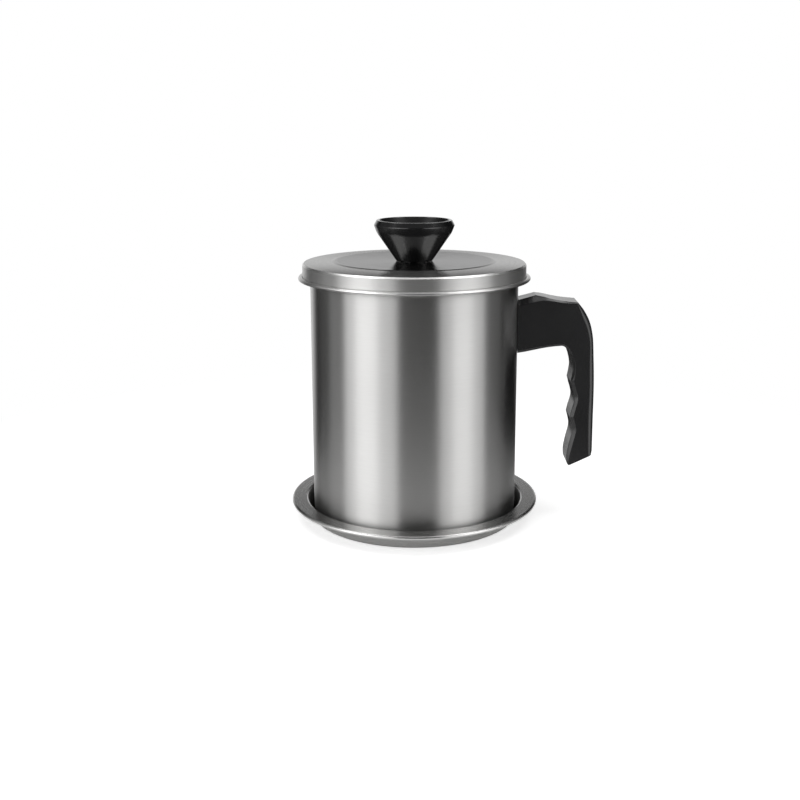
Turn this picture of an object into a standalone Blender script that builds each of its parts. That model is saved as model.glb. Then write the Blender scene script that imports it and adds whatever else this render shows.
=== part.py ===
"""Grease container for the kitchen: a steel pot on a drip tray, with a lift-out strainer and a knobbed lid.

Metres, +Z up. The origin is the middle of the tray's underside. The pot, strainer and lid share the Z axis,
and the handle points along +X. Each piece is a solid of its own and takes its place from the piece it sits on.
"""

import math

import bmesh
import bpy
from mathutils import Vector

# Fits
GAP = 0.0003
OVERRUN = 0.004

# Drip tray
TRAY_SHEET = 0.0006
TRAY_HEIGHT = 0.0119
TRAY_MARGIN = 0.0042
TRAY_FLANGE = 0.00935
TRAY_TAPER = 0.0034
TRAY_CORNER = 0.0018
TRAY_FLANGE_BEND = 0.0010
TRAY_ROLL = 0.0012

# Pot
POT_RADIUS = 0.0625
POT_HEIGHT = 0.1522
POT_SHEET = 0.0006
POT_CORNER = 0.006
POT_FLARE = 0.0011
POT_FLARE_HEIGHT = 0.0045
POT_FLARE_BEND = 0.004
POT_ROLL = 0.0016

# Strainer
CUP_SHEET = 0.0005
CUP_PLAY = 0.0005
CUP_DEPTH = 0.040
CUP_TAPER = 0.006
CUP_CORNER = 0.002
CUP_SEAT = 0.0065
CUP_HEM = 0.0015
MESH_THICKNESS = 0.0008
MESH_HOLE = 0.0048
MESH_BAR = 0.0016
RING_HEIGHT = 0.0012
RING_ROUND = 0.0004

# Lid
LID_SHEET = 0.0006
LID_PLAY = 0.00045
LID_SKIRT = 0.010
LID_CORNER = 0.0011
LID_ROLL = 0.0016
LID_RING_RISE = 0.0008
PANEL_RADIUS = 0.049
PANEL_STEP = 0.0005
PANEL_SLOPE = 0.0020
PANEL_BEND = 0.0020
PANEL_DISH = 0.0005

# Knob
KNOB_RADIUS = 0.0242
KNOB_HEIGHT = 0.0242
KNOB_BASE_RADIUS = 0.0109
KNOB_BASE_EDGE = 0.0004
KNOB_CONE_TOP = 0.0072
KNOB_CONE_STEP = 0.0016
KNOB_CONE_BEND = 0.008
KNOB_BAND = 0.0029
KNOB_BAND_LEAN = 0.0016
KNOB_BAND_BEND = 0.0006
KNOB_RIM = 0.0014
KNOB_RIM_ROUND = 0.0006
KNOB_DISH_DEPTH = 0.0095
KNOB_DISH_RADIUS = 0.012
KNOB_DISH_BEND = 0.006

# Insert, screw and washer under the knob
INSERT_RADIUS = 0.0035
INSERT_LENGTH = 0.011
INSERT_GROOVE = 0.0006
INSERT_GROOVE_SHARES = (0.36, 0.44, 0.58, 0.66)
KNOB_SCREW_RADIUS = 0.002
KNOB_SCREW_BITE = 0.009
KNOB_WASHER_RADIUS = 0.006
KNOB_WASHER_THICKNESS = 0.001

# Handle, its reach from the pot's wall outwards and its drop from the ridge to the tip
HANDLE_BELOW_RIM = 0.0149
HANDLE_REACH = 0.0465
HANDLE_DROP = 0.1054
HANDLE_THICKNESS = 0.020
HANDLE_WALL = 0.003
HANDLE_SCREW_LEVEL_SHARE = 0.165
HANDLE_SCREW_SEAT_SHARE = 0.70

# Bracket inside the handle's root, and what fastens the handle to it
BRACKET_SHEET = 0.0012
BRACKET_HEIGHT = 0.022
BRACKET_BRIDGE = 0.013
BRACKET_AIR = 0.0025
NUT_WIDTH = 0.007
NUT_THICKNESS = 0.003
HANDLE_SCREW_RADIUS = 0.002
HANDLE_SCREW_END = 0.001
WASHER_RADIUS = 0.004
WASHER_THICKNESS = 0.0008
LOCK_WASHER_RADIUS = 0.0035
LOCK_WASHER_THICKNESS = 0.001
LOCK_WASHER_TURN = math.radians(338)
COUNTERBORE_PLAY = 0.0005

# Screw heads, as shares of the screw's radius
HEAD_RADIUS_SHARE = 1.9
HEAD_HEIGHT_SHARE = 1.25
HEAD_ROUND_SHARE = 0.55
HEAD_RECESS_RADIUS_SHARE = 0.8
HEAD_RECESS_DEPTH_SHARE = 0.7
SCREW_POINT_SHARE = 0.3

# Handle outline, as stretches that meet at crisp corners. Each row is how far out from the wall, how far down
# from the ridge and how wide the edge is cut back, as shares of the reach, the drop and the thickness. A stretch
# of one row runs straight to the next stretch, and a longer one is a smooth curve.
HANDLE_OUTLINE_SHARES = (
    ((-0.080, 0.036, 0.150),),
    ((0.217, 0.000, 0.180), (0.314, 0.007, 0.105), (0.415, 0.018, 0.065), (0.572, 0.0305, 0.055)),
    ((0.755, 0.0385, 0.040), (0.849, 0.092, 0.070), (0.918, 0.151, 0.070), (0.959, 0.221, 0.070),
     (0.985, 0.370, 0.070), (0.998, 0.511, 0.065), (1.000, 0.742, 0.065), (1.000, 0.915, 0.065)),
    ((0.987, 0.938, 0.050),),
    ((0.687, 1.000, 0.040), (0.674, 0.985, 0.050), (0.668, 0.947, 0.070), (0.686, 0.880, 0.090),
     (0.724, 0.790, 0.080)),
    ((0.688, 0.710, 0.090), (0.702, 0.680, 0.080), (0.746, 0.605, 0.070), (0.705, 0.530, 0.080)),
    ((0.686, 0.500, 0.090), (0.704, 0.455, 0.070), (0.724, 0.404, 0.060), (0.678, 0.330, 0.055)),
    ((0.560, 0.284, 0.045),),
    ((-0.080, 0.334, 0.045),),
)
EDGE_ROUND_SHARE = 0.62

# Facets
AROUND = 48
KNOB_AROUND = 40
SMALL_AROUND = 20
BEND_STEPS = 3
HIDDEN_BEND_STEPS = 2
ROLL_STEPS = 6
CURVE_STEPS = 2
DISH_STEPS = 4
BRACKET_STEPS = 4
NUT_SIDES = 6
MERGE = 0.000001
SHARP_ANGLE = math.radians(32)
FULL_TURN = 2 * math.pi

# Places, worked out from the sizes above
tray_floor = TRAY_SHEET
tray_mouth_radius = POT_RADIUS + TRAY_MARGIN
tray_radius = tray_mouth_radius + TRAY_FLANGE

pot_base = tray_floor + GAP
pot_rim = pot_base + POT_HEIGHT
pot_inside = POT_RADIUS - POT_SHEET
pot_mouth_inside = pot_inside + POT_FLARE
pot_roll_radius = pot_mouth_inside + POT_ROLL
pot_roll_level = pot_rim - POT_ROLL
flare_top = pot_roll_level - POT_ROLL
flare_foot = flare_top - POT_FLARE_HEIGHT

hem_level = pot_rim + GAP + CUP_HEM
cup_top = hem_level + CUP_HEM
cup_base = cup_top - CUP_DEPTH
cup_wall = pot_inside - CUP_PLAY
cup_mouth = pot_mouth_inside - GAP
cup_base_radius = cup_wall - CUP_TAPER
seat_inside = cup_base_radius - CUP_SEAT
mesh_radius = cup_base_radius - CUP_CORNER - GAP
mesh_base = cup_base + CUP_SHEET + GAP
ring_base = mesh_base + MESH_THICKNESS + GAP

lid_underside = cup_top + GAP
lid_top = lid_underside + LID_SHEET
panel_rim = lid_top + LID_RING_RISE + PANEL_STEP
panel_floor = panel_rim - PANEL_DISH
skirt_inside = pot_roll_radius + POT_ROLL + LID_PLAY
skirt_outside = skirt_inside + LID_SHEET
lid_roll_radius = skirt_inside + LID_ROLL
lid_roll_level = lid_top - LID_SKIRT + LID_ROLL

knob_base = panel_floor + PANEL_DISH * (KNOB_BASE_RADIUS / PANEL_RADIUS) ** 2 + GAP
knob_top = knob_base + KNOB_HEIGHT
knob_screw_hole = KNOB_SCREW_RADIUS + GAP
knob_washer_top = panel_floor - LID_SHEET - GAP
knob_head_top = knob_washer_top - KNOB_WASHER_THICKNESS - GAP

handle_root = POT_RADIUS + GAP
handle_ridge = pot_rim - HANDLE_BELOW_RIM
screw_level = handle_ridge - HANDLE_DROP * HANDLE_SCREW_LEVEL_SHARE
screw_hole = HANDLE_SCREW_RADIUS + GAP
screw_seat = handle_root + HANDLE_REACH * HANDLE_SCREW_SEAT_SHARE
handle_end = handle_root + HANDLE_REACH

bracket_depth = BRACKET_AIR + HANDLE_SCREW_END + NUT_THICKNESS + GAP + BRACKET_SHEET
bracket_half_width = HANDLE_THICKNESS / 2 - HANDLE_WALL
nut_outside = handle_root + bracket_depth - BRACKET_SHEET - GAP
nut_inside = nut_outside - NUT_THICKNESS
screw_tip = nut_inside - HANDLE_SCREW_END
washer_seat = screw_seat + GAP
lock_washer_seat = washer_seat + WASHER_THICKNESS + GAP
screw_head_seat = lock_washer_seat + LOCK_WASHER_THICKNESS + GAP


# Outlines

def arc(centre, radius, start, end, steps):
    """Points on a circle, from one angle in degrees to another."""
    angles = [math.radians(start + (end - start) * step / steps) for step in range(steps + 1)]
    return [(centre[0] + radius * math.cos(a), centre[1] + radius * math.sin(a)) for a in angles]


def rounded(corners, steps=BEND_STEPS):
    """A path with an arc at each corner that has a bend radius, held to half of its shorter leg."""
    points = []
    for index, (across, up, bend) in enumerate(corners):
        corner = Vector((across, up))
        if bend <= 0 or index in (0, len(corners) - 1):
            points.append(corner)
            continue
        before = Vector(corners[index - 1][:2]) - corner
        after = Vector(corners[index + 1][:2]) - corner
        half = before.angle(after) / 2
        reach = min(bend / math.tan(half), before.length / 2, after.length / 2)
        radius = reach * math.tan(half)
        middle = corner + (before.normalized() + after.normalized()).normalized() * radius / math.sin(half)
        spoke = corner + before.normalized() * reach - middle
        turn = math.copysign(math.pi - 2 * half, before.cross(after))
        for step in range(steps + 1):
            swing = -turn * step / steps
            points.append(middle + Vector((
                spoke.x * math.cos(swing) - spoke.y * math.sin(swing),
                spoke.x * math.sin(swing) + spoke.y * math.cos(swing),
            )))
    return [tuple(point) for point in points]


def beside(corners, sheet):
    """The same path, one sheet to the left of its direction, with mitred corners and bends to match."""
    shifted = []
    for index, (across, up, bend) in enumerate(corners):
        corner = Vector((across, up))
        legs = []
        if index > 0:
            legs.append((corner - Vector(corners[index - 1][:2])).normalized())
        if index < len(corners) - 1:
            legs.append((Vector(corners[index + 1][:2]) - corner).normalized())
        first, last = legs[0], legs[-1]
        mitre = Vector((-first.y - last.y, first.x + last.x)) / (1 + first.dot(last))
        place = corner + mitre * sheet
        if bend > 0:
            bend = max(bend - math.copysign(sheet, first.cross(last) * sheet), 0)
        shifted.append((place.x, place.y, bend))
    return shifted


def pressed_sheet(corners, sheet, edge, steps=BEND_STEPS):
    """Outline of a turned sheet: one face, the rolled edge at its end, and the other face back."""
    near = rounded(corners, steps)
    far = rounded(beside(corners, sheet), steps)
    return near[:-1] + edge + far[:-1][::-1]


# Meshes and objects

def finish(name, colour, roughness, metallic):
    """One plain surface for one piece."""
    surface = bpy.data.materials.new(name)
    surface.use_nodes = True
    shader = surface.node_tree.nodes["Principled BSDF"]
    shader.inputs["Base Color"].default_value = (*colour, 1)
    shader.inputs["Roughness"].default_value = roughness
    shader.inputs["Metallic"].default_value = metallic
    return surface


def place(name, bm, body, surface):
    """Turn a bmesh into a shaded object that rides on a body."""
    mesh = bpy.data.meshes.new(name)
    bm.to_mesh(mesh)
    bm.free()
    mesh.shade_smooth()
    mesh.set_sharp_from_angle(angle=SHARP_ANGLE)
    item = bpy.data.objects.new(name, mesh)
    bpy.context.scene.collection.objects.link(item)
    item.parent = body
    if surface is not None:
        mesh.materials.append(surface)
    return item


def turned(outline, steps, angle=FULL_TURN):
    """Spin an outline of radii and heights about Z. An outline that leaves the axis open is closed first."""
    bm = bmesh.new()
    first = [bm.verts.new((radius, 0, level)) for radius, level in outline]
    edges = [bm.edges.new(pair) for pair in zip(first, first[1:])]
    if outline[0][0] > 0 or outline[-1][0] > 0:
        edges.append(bm.edges.new((first[-1], first[0])))
    whole = angle == FULL_TURN
    swept = bmesh.ops.spin(
        bm, geom=first + edges, cent=(0, 0, 0), axis=(0, 0, 1), angle=angle, steps=steps, use_merge=whole
    )
    if not whole:
        last = [piece for piece in swept["geom_last"] if isinstance(piece, bmesh.types.BMVert)]
        bm.faces.new(first)
        bm.faces.new(last)
    bmesh.ops.remove_doubles(bm, verts=bm.verts, dist=MERGE)
    bmesh.ops.recalc_face_normals(bm, faces=bm.faces)
    return bm


def lofted(loops):
    """Join a row of closed loops of points by quads, and fill the first and the last."""
    bm = bmesh.new()
    rows = [[bm.verts.new(point) for point in loop] for loop in loops]
    for row, following in zip(rows, rows[1:]):
        for index in range(len(row)):
            bm.faces.new((row[index - 1], row[index], following[index], following[index - 1]))
    bm.faces.new(rows[0])
    bm.faces.new(rows[-1])
    bmesh.ops.recalc_face_normals(bm, faces=bm.faces)
    return bm


def extruded(outline, low, high):
    """Extrude an outline in the X-Z plane along Y."""
    return lofted([[(across, side, up) for across, up in outline] for side in (low, high)])


def lay_along_x(item, level):
    """Turn a piece made about Z so that it points along +X at a level."""
    item.rotation_euler = (0, math.pi / 2, 0)
    item.location = (0, 0, level)


def cutter(name, bm):
    """A helper solid that only cuts."""
    item = place(name, bm, None, None)
    item.display_type = "WIRE"
    item.hide_render = True
    return item


def cut(item, tool):
    """Take a helper solid away from a piece."""
    step = item.modifiers.new(tool.name, "BOOLEAN")
    step.operation = "DIFFERENCE"
    step.solver = "EXACT"
    step.object = tool


def body(name, parent):
    """An empty on the Z axis that carries the pieces that move together."""
    item = bpy.data.objects.new(name, None)
    bpy.context.scene.collection.objects.link(item)
    item.parent = parent
    return item


# Drip tray

def drip_tray(carrier):
    """Saucer with a tapered wall, a wide flat flange and an edge rolled under."""
    roll_centre = (tray_radius - TRAY_ROLL, TRAY_HEIGHT - TRAY_ROLL)
    join = 180 - math.degrees(math.asin((TRAY_ROLL - TRAY_SHEET) / TRAY_ROLL))
    edge = arc(roll_centre, TRAY_ROLL, join, 450, ROLL_STEPS)
    corners = [
        (0, 0, 0),
        (tray_mouth_radius - TRAY_TAPER, 0, TRAY_CORNER),
        (tray_mouth_radius, TRAY_HEIGHT - TRAY_SHEET, TRAY_FLANGE_BEND),
        (*edge[0], 0),
    ]
    outline = pressed_sheet(corners, TRAY_SHEET, edge)
    surface = finish("tray_steel", (0.56, 0.55, 0.54), 0.34, 1)
    return place("drip_tray", turned(outline, AROUND), carrier, surface)


# Pot

def pot_shell(carrier):
    """Drawn shell with a straight wall, a small flare under the mouth and a rim rolled outwards."""
    outside = POT_RADIUS + POT_FLARE
    join = 180 + math.degrees(math.acos((POT_ROLL - POT_SHEET) / POT_ROLL))
    edge = arc((pot_roll_radius, pot_roll_level), POT_ROLL, join, 540, ROLL_STEPS)
    corners = [
        (0, pot_base, 0),
        (POT_RADIUS, pot_base, POT_CORNER),
        (POT_RADIUS, flare_foot, POT_FLARE_BEND),
        (outside, flare_top, POT_FLARE_BEND),
        (*edge[0], 0),
    ]
    outline = pressed_sheet(corners, POT_SHEET, edge, HIDDEN_BEND_STEPS)
    surface = finish("pot_steel", (0.58, 0.57, 0.56), 0.32, 1)
    return place("pot_shell", turned(outline, AROUND), carrier, surface)


# Strainer

def strainer_cup(carrier):
    """Tapered cup that hangs by a hem on the pot's rim, with a flange turned in at the bottom."""
    saddle = POT_ROLL + GAP
    roll_centre = (pot_roll_radius, pot_roll_level)
    hem_centre = (pot_roll_radius, hem_level)
    rise = hem_level - pot_roll_level
    inner = saddle + CUP_SHEET
    meet = (inner ** 2 - CUP_HEM ** 2 + rise ** 2) / (2 * rise)
    meet_on_saddle = 90 + math.degrees(math.acos(meet / inner))
    meet_on_hem = 270 - math.degrees(math.acos((rise - meet) / CUP_HEM))
    edge = (
        arc(roll_centre, saddle, 180, 90, HIDDEN_BEND_STEPS)[:-1]
        + arc(hem_centre, CUP_HEM, -90, meet_on_hem, ROLL_STEPS)
        + arc(roll_centre, inner, meet_on_saddle, 180, HIDDEN_BEND_STEPS)[1:]
    )
    corners = [
        (seat_inside, cup_base, 0),
        (cup_base_radius, cup_base, CUP_CORNER + CUP_SHEET),
        (cup_wall, flare_foot, 0),
        (cup_mouth, flare_top, 0),
        (*edge[0], 0),
    ]
    outline = pressed_sheet(corners, CUP_SHEET, edge, HIDDEN_BEND_STEPS)
    surface = finish("strainer_steel", (0.62, 0.61, 0.60), 0.26, 1)
    return place("strainer_cup", turned(outline, AROUND), carrier, surface)


def hole_places():
    """Centres of a square grid of gaps, all those that fit inside the cup's seat."""
    pitch = MESH_HOLE + MESH_BAR
    field = seat_inside - MESH_BAR - MESH_HOLE / math.sqrt(2)
    count = int(field / pitch)
    for column in range(-count, count + 1):
        for row in range(-count, count + 1):
            across, along = column * pitch, row * pitch
            if math.hypot(across, along) <= field:
                yield across, along


def mesh_holes():
    """One square prism for each gap of the strainer's mesh."""
    bm = bmesh.new()
    half = MESH_HOLE / 2
    low = mesh_base - OVERRUN
    high = mesh_base + MESH_THICKNESS + OVERRUN
    corners = ((-half, -half), (half, -half), (half, half), (-half, half))
    for across, along in hole_places():
        rows = [
            [bm.verts.new((across + x, along + y, level)) for x, y in corners]
            for level in (low, high)
        ]
        for side in range(len(corners)):
            bm.faces.new((rows[0][side - 1], rows[0][side], rows[1][side], rows[1][side - 1]))
        bm.faces.new(rows[0][::-1])
        bm.faces.new(rows[1])
    bmesh.ops.recalc_face_normals(bm, faces=bm.faces)
    return bm


def circle(radius, level):
    """A ring of points about Z, in line with the facets of the turned pieces."""
    turns = [FULL_TURN * step / AROUND for step in range(AROUND)]
    return [(radius * math.cos(turn), radius * math.sin(turn), level) for turn in turns]


def strainer_mesh(carrier):
    """Flat net on the cup's seat, a disc pierced by a square grid of gaps."""
    surface = finish("mesh_steel", (0.66, 0.65, 0.64), 0.30, 1)
    disc = lofted([circle(mesh_radius, mesh_base), circle(mesh_radius, mesh_base + MESH_THICKNESS)])
    item = place("strainer_mesh", disc, carrier, surface)
    cut(item, cutter("cut_mesh_holes", mesh_holes()))
    return item


def strainer_ring(carrier):
    """Flat ring that holds the mesh down on its seat."""
    top = ring_base + RING_HEIGHT
    outline = rounded([
        (seat_inside, ring_base, 0),
        (mesh_radius, ring_base, 0),
        (mesh_radius, top, RING_ROUND),
        (seat_inside, top, RING_ROUND),
        (seat_inside, ring_base, 0),
    ], 1)[:-1]
    surface = finish("ring_steel", (0.62, 0.61, 0.60), 0.30, 1)
    return place("strainer_ring", turned(outline, AROUND), carrier, surface)


# Lid and knob

def lid_shell(carrier):
    """Dished panel a step above its ring, and a skirt over the pot's rim with its edge rolled outwards."""
    join = 180 - math.degrees(math.acos((LID_ROLL - LID_SHEET) / LID_ROLL))
    edge = arc((lid_roll_radius, lid_roll_level), LID_ROLL, join, -180, ROLL_STEPS)
    spread = PANEL_RADIUS - knob_screw_hole
    radii = [knob_screw_hole + spread * step / DISH_STEPS for step in range(DISH_STEPS)]
    dish = [(radius, panel_floor + PANEL_DISH * (radius / PANEL_RADIUS) ** 2, 0) for radius in radii]
    corners = [
        *dish,
        (PANEL_RADIUS, panel_rim, PANEL_BEND),
        (PANEL_RADIUS + PANEL_SLOPE, panel_rim - PANEL_STEP, PANEL_BEND),
        (skirt_outside, lid_top, LID_CORNER),
        (*edge[0], 0),
    ]
    outline = pressed_sheet(corners, -LID_SHEET, edge)
    outline.append((knob_screw_hole, panel_floor - LID_SHEET))
    surface = finish("lid_steel", (0.60, 0.59, 0.58), 0.24, 1)
    return place("lid_shell", turned(outline, AROUND), carrier, surface)


def knob(carrier):
    """Flared grip with a band that leans in round its top and a dish inside, bored from below for its insert."""
    bore = INSERT_RADIUS + GAP
    bore_top = knob_base + INSERT_LENGTH + GAP
    cone_radius = KNOB_RADIUS - KNOB_CONE_STEP
    cone_top = knob_top - KNOB_CONE_TOP
    rim_radius = KNOB_RADIUS - KNOB_BAND_LEAN
    dish = knob_top - KNOB_DISH_DEPTH
    outline = rounded([
        (0, bore_top, 0),
        (bore, bore_top, 0),
        (bore, knob_base, 0),
        (KNOB_BASE_RADIUS, knob_base, KNOB_BASE_EDGE),
        (cone_radius, cone_top, KNOB_CONE_BEND),
        (KNOB_RADIUS, knob_top - KNOB_BAND, KNOB_BAND_BEND),
        (rim_radius, knob_top, KNOB_RIM_ROUND),
        (rim_radius - KNOB_RIM, knob_top, KNOB_RIM_ROUND),
        (KNOB_DISH_RADIUS, dish, KNOB_DISH_BEND),
        (0, dish, 0),
    ], 2)
    surface = finish("knob_plastic", (0.012, 0.012, 0.013), 0.16, 0)
    return place("knob", turned(outline, KNOB_AROUND), carrier, surface)


def knob_insert(carrier):
    """Threaded sleeve in the knob's foot, grooved so that the plastic grips it."""
    waist = INSERT_RADIUS - INSERT_GROOVE
    levels = [knob_base + INSERT_LENGTH * share for share in INSERT_GROOVE_SHARES]
    outline = [
        (knob_screw_hole, knob_base),
        (INSERT_RADIUS, knob_base),
        (INSERT_RADIUS, levels[0]),
        (waist, levels[1]),
        (waist, levels[2]),
        (INSERT_RADIUS, levels[3]),
        (INSERT_RADIUS, knob_base + INSERT_LENGTH),
        (knob_screw_hole, knob_base + INSERT_LENGTH),
    ]
    surface = finish("insert_brass", (0.66, 0.48, 0.20), 0.30, 1)
    return place("knob_insert", turned(outline, SMALL_AROUND), carrier, surface)


# Fasteners

def screw_outline(radius, seat, tip):
    """Pan-head screw along Z: its head lies beyond the seat on the side away from the tip."""
    out = math.copysign(1, seat - tip)
    head = radius * HEAD_RADIUS_SHARE
    crown = seat + out * radius * HEAD_HEIGHT_SHARE
    edge = radius * HEAD_ROUND_SHARE
    recess = radius * HEAD_RECESS_RADIUS_SHARE
    point = radius * SCREW_POINT_SHARE
    return rounded([
        (0, tip, 0),
        (radius - point, tip, 0),
        (radius, tip + out * point, 0),
        (radius, seat, 0),
        (head, seat, 0),
        (head, crown, edge),
        (recess, crown, 0),
        (0, crown - out * radius * HEAD_RECESS_DEPTH_SHARE, 0),
    ], 2)


def washer_outline(hole, radius, seat, thickness):
    """Flat ring of square section."""
    return [(hole, seat), (radius, seat), (radius, seat + thickness), (hole, seat + thickness)]


def knob_screw(carrier):
    """Screw from below the lid's floor into the insert."""
    tip = knob_base + KNOB_SCREW_BITE
    outline = screw_outline(KNOB_SCREW_RADIUS, knob_head_top, tip)
    surface = finish("screw_steel", (0.70, 0.70, 0.70), 0.22, 1)
    return place("knob_screw", turned(outline, SMALL_AROUND), carrier, surface)


def knob_washer(carrier):
    """Washer between the lid's floor and the screw's head."""
    base = knob_washer_top - KNOB_WASHER_THICKNESS
    outline = washer_outline(knob_screw_hole, KNOB_WASHER_RADIUS, base, KNOB_WASHER_THICKNESS)
    surface = finish("knob_washer_steel", (0.70, 0.70, 0.70), 0.26, 1)
    return place("knob_washer", turned(outline, SMALL_AROUND), carrier, surface)


# Handle and its fastening

def wall_fall(side):
    """How far the pot's round wall falls back at a distance to the side of the handle's middle."""
    return POT_RADIUS - math.sqrt(POT_RADIUS ** 2 - side ** 2)


def handle_bracket(carrier):
    """Sheet saddle bent to the pot's wall: two flanges lie on it and a bridge stands off between them."""
    near = handle_root
    skin = near + BRACKET_SHEET
    far = near + bracket_depth
    reach = BRACKET_HEIGHT / 2
    bridge = BRACKET_BRIDGE / 2
    hollow = bridge - BRACKET_SHEET
    outline = [
        (skin, -reach), (skin, -bridge), (far, -bridge), (far, bridge), (skin, bridge), (skin, reach),
        (near, reach), (near, hollow), (far - BRACKET_SHEET, hollow),
        (far - BRACKET_SHEET, -hollow), (near, -hollow), (near, -reach),
    ]
    loops = []
    for step in range(BRACKET_STEPS + 1):
        side = bracket_half_width * (2 * step / BRACKET_STEPS - 1)
        fall = wall_fall(side)
        loops.append([(across - fall, side, screw_level + up) for across, up in outline])
    surface = finish("bracket_steel", (0.62, 0.61, 0.60), 0.34, 1)
    item = place("handle_bracket", lofted(loops), carrier, surface)
    cut(item, bracket_drill("cut_bracket_hole"))
    return item


def bracket_drill(name):
    """Cutter for the screw's way through the nut and the bridge."""
    near = handle_root + BRACKET_SHEET
    far = handle_root + bracket_depth + OVERRUN
    tool = cutter(name, turned([(0, near), (screw_hole, near), (screw_hole, far), (0, far)], SMALL_AROUND))
    lay_along_x(tool, screw_level)
    return tool


def bracket_nut(carrier):
    """Hexagon nut behind the bridge."""
    corner = NUT_WIDTH / math.sqrt(3)
    turns = [FULL_TURN * side / NUT_SIDES for side in range(NUT_SIDES)]
    loops = [
        [(level, corner * math.cos(turn), screw_level + corner * math.sin(turn)) for turn in turns]
        for level in (nut_inside, nut_outside)
    ]
    surface = finish("nut_steel", (0.68, 0.68, 0.67), 0.30, 1)
    item = place("bracket_nut", lofted(loops), carrier, surface)
    cut(item, bracket_drill("cut_nut_thread"))
    return item


def smooth_stretch(rows, finish_row):
    """Points along a Catmull-Rom curve through rows, up to but without the row where it finishes."""
    path = [rows[0], *rows, finish_row, finish_row]
    points = []
    for a, b, c, d in zip(path, path[1:], path[2:], path[3:]):
        for step in range(CURVE_STEPS):
            share = step / CURVE_STEPS
            points.append(tuple(
                (2 * q + (r - p) * share + (2 * p - 5 * q + 4 * r - s) * share ** 2
                 + (3 * q - p - 3 * r + s) * share ** 3) / 2
                for p, q, r, s in zip(a, b, c, d)
            ))
    return points


def handle_outline():
    """The handle's side view as points, each with the width of its edge."""
    points = []
    for index, stretch in enumerate(HANDLE_OUTLINE_SHARES):
        following = HANDLE_OUTLINE_SHARES[(index + 1) % len(HANDLE_OUTLINE_SHARES)][0]
        points += smooth_stretch(stretch, following) if len(stretch) > 1 else [stretch[0]]
    return [
        (handle_root + HANDLE_REACH * out, handle_ridge - HANDLE_DROP * down, HANDLE_THICKNESS * edge)
        for out, down, edge in points
    ]


def inset(outline, share):
    """Draw an outline in along its normals by a share of each point's edge width."""
    moved = []
    for index, (across, up, edge) in enumerate(outline):
        here = Vector((across, up))
        first = (here - Vector(outline[index - 1][:2])).normalized()
        last = (Vector(outline[(index + 1) % len(outline)][:2]) - here).normalized()
        mitre = Vector((first.y + last.y, -first.x - last.x)) / (1 + first.dot(last))
        moved.append(here + mitre * edge * share)
    return moved


def handle(carrier):
    """Moulded handle: an angular arm with a ridge, a curved back and a grip with finger grooves.

    The side view is carried across the thickness, drawn in towards both faces by each point's edge width.
    """
    outline = handle_outline()
    half = HANDLE_THICKNESS / 2
    soft = 1 - EDGE_ROUND_SHARE
    loops = []
    for side in (-1, 1):
        cuts = ((1, 0), (soft, soft), (0, 1))
        stations = []
        for drawn_in, deep in cuts:
            drawn = inset(outline, drawn_in)
            stations.append([
                (point.x, side * (half - edge * deep), point.y)
                for point, (_, _, edge) in zip(drawn, outline)
            ])
        loops += stations if side < 0 else stations[::-1]
    surface = finish("handle_plastic", (0.018, 0.018, 0.019), 0.38, 0)
    item = place("handle", lofted(loops), carrier, surface)
    cut(item, cutter("cut_handle_wall", turned([
        (0, handle_ridge - HANDLE_DROP),
        (handle_root, handle_ridge - HANDLE_DROP),
        (handle_root, handle_ridge + OVERRUN),
        (0, handle_ridge + OVERRUN),
    ], AROUND)))
    cut(item, cutter("cut_handle_pocket", handle_pocket()))
    bore = cutter("cut_handle_bore", turned(handle_bore(), SMALL_AROUND))
    lay_along_x(bore, screw_level)
    cut(item, bore)
    return item


def handle_pocket():
    """Hollow in the handle's root that takes the bracket with a gap all round."""
    mouth = POT_RADIUS - OVERRUN
    shallow = handle_root + BRACKET_SHEET + GAP
    deep = handle_root + bracket_depth + GAP
    flange = BRACKET_HEIGHT / 2 + GAP
    bridge = BRACKET_BRIDGE / 2 + GAP
    outline = [
        (mouth, -flange), (shallow, -flange), (shallow, -bridge), (deep, -bridge),
        (deep, bridge), (shallow, bridge), (shallow, flange), (mouth, flange),
    ]
    side = bracket_half_width + GAP
    return extruded([(across, screw_level + up) for across, up in outline], -side, side)


def handle_bore():
    """Screw hole from the pocket outwards, opened out to sink the screw's head."""
    counterbore = WASHER_RADIUS + COUNTERBORE_PLAY
    return [
        (0, handle_root + BRACKET_SHEET),
        (screw_hole, handle_root + BRACKET_SHEET),
        (screw_hole, screw_seat),
        (counterbore, screw_seat),
        (counterbore, handle_end + OVERRUN),
        (0, handle_end + OVERRUN),
    ]


def handle_screw(carrier):
    """Long screw through the arm into the bracket's nut."""
    outline = screw_outline(HANDLE_SCREW_RADIUS, screw_head_seat, screw_tip)
    surface = finish("handle_screw_steel", (0.70, 0.70, 0.70), 0.22, 1)
    item = place("handle_screw", turned(outline, SMALL_AROUND), carrier, surface)
    lay_along_x(item, screw_level)
    return item


def handle_washer(carrier):
    """Flat washer on the floor of the counterbore."""
    outline = washer_outline(screw_hole, WASHER_RADIUS, washer_seat, WASHER_THICKNESS)
    surface = finish("washer_steel", (0.70, 0.70, 0.70), 0.26, 1)
    item = place("handle_washer", turned(outline, SMALL_AROUND), carrier, surface)
    lay_along_x(item, screw_level)
    return item


def handle_lock_washer(carrier):
    """Split spring washer under the screw's head."""
    outline = washer_outline(screw_hole, LOCK_WASHER_RADIUS, lock_washer_seat, LOCK_WASHER_THICKNESS)
    surface = finish("lock_washer_steel", (0.55, 0.55, 0.56), 0.30, 1)
    split = turned(outline, SMALL_AROUND, LOCK_WASHER_TURN)
    item = place("handle_lock_washer", split, carrier, surface)
    lay_along_x(item, screw_level)
    return item


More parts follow.
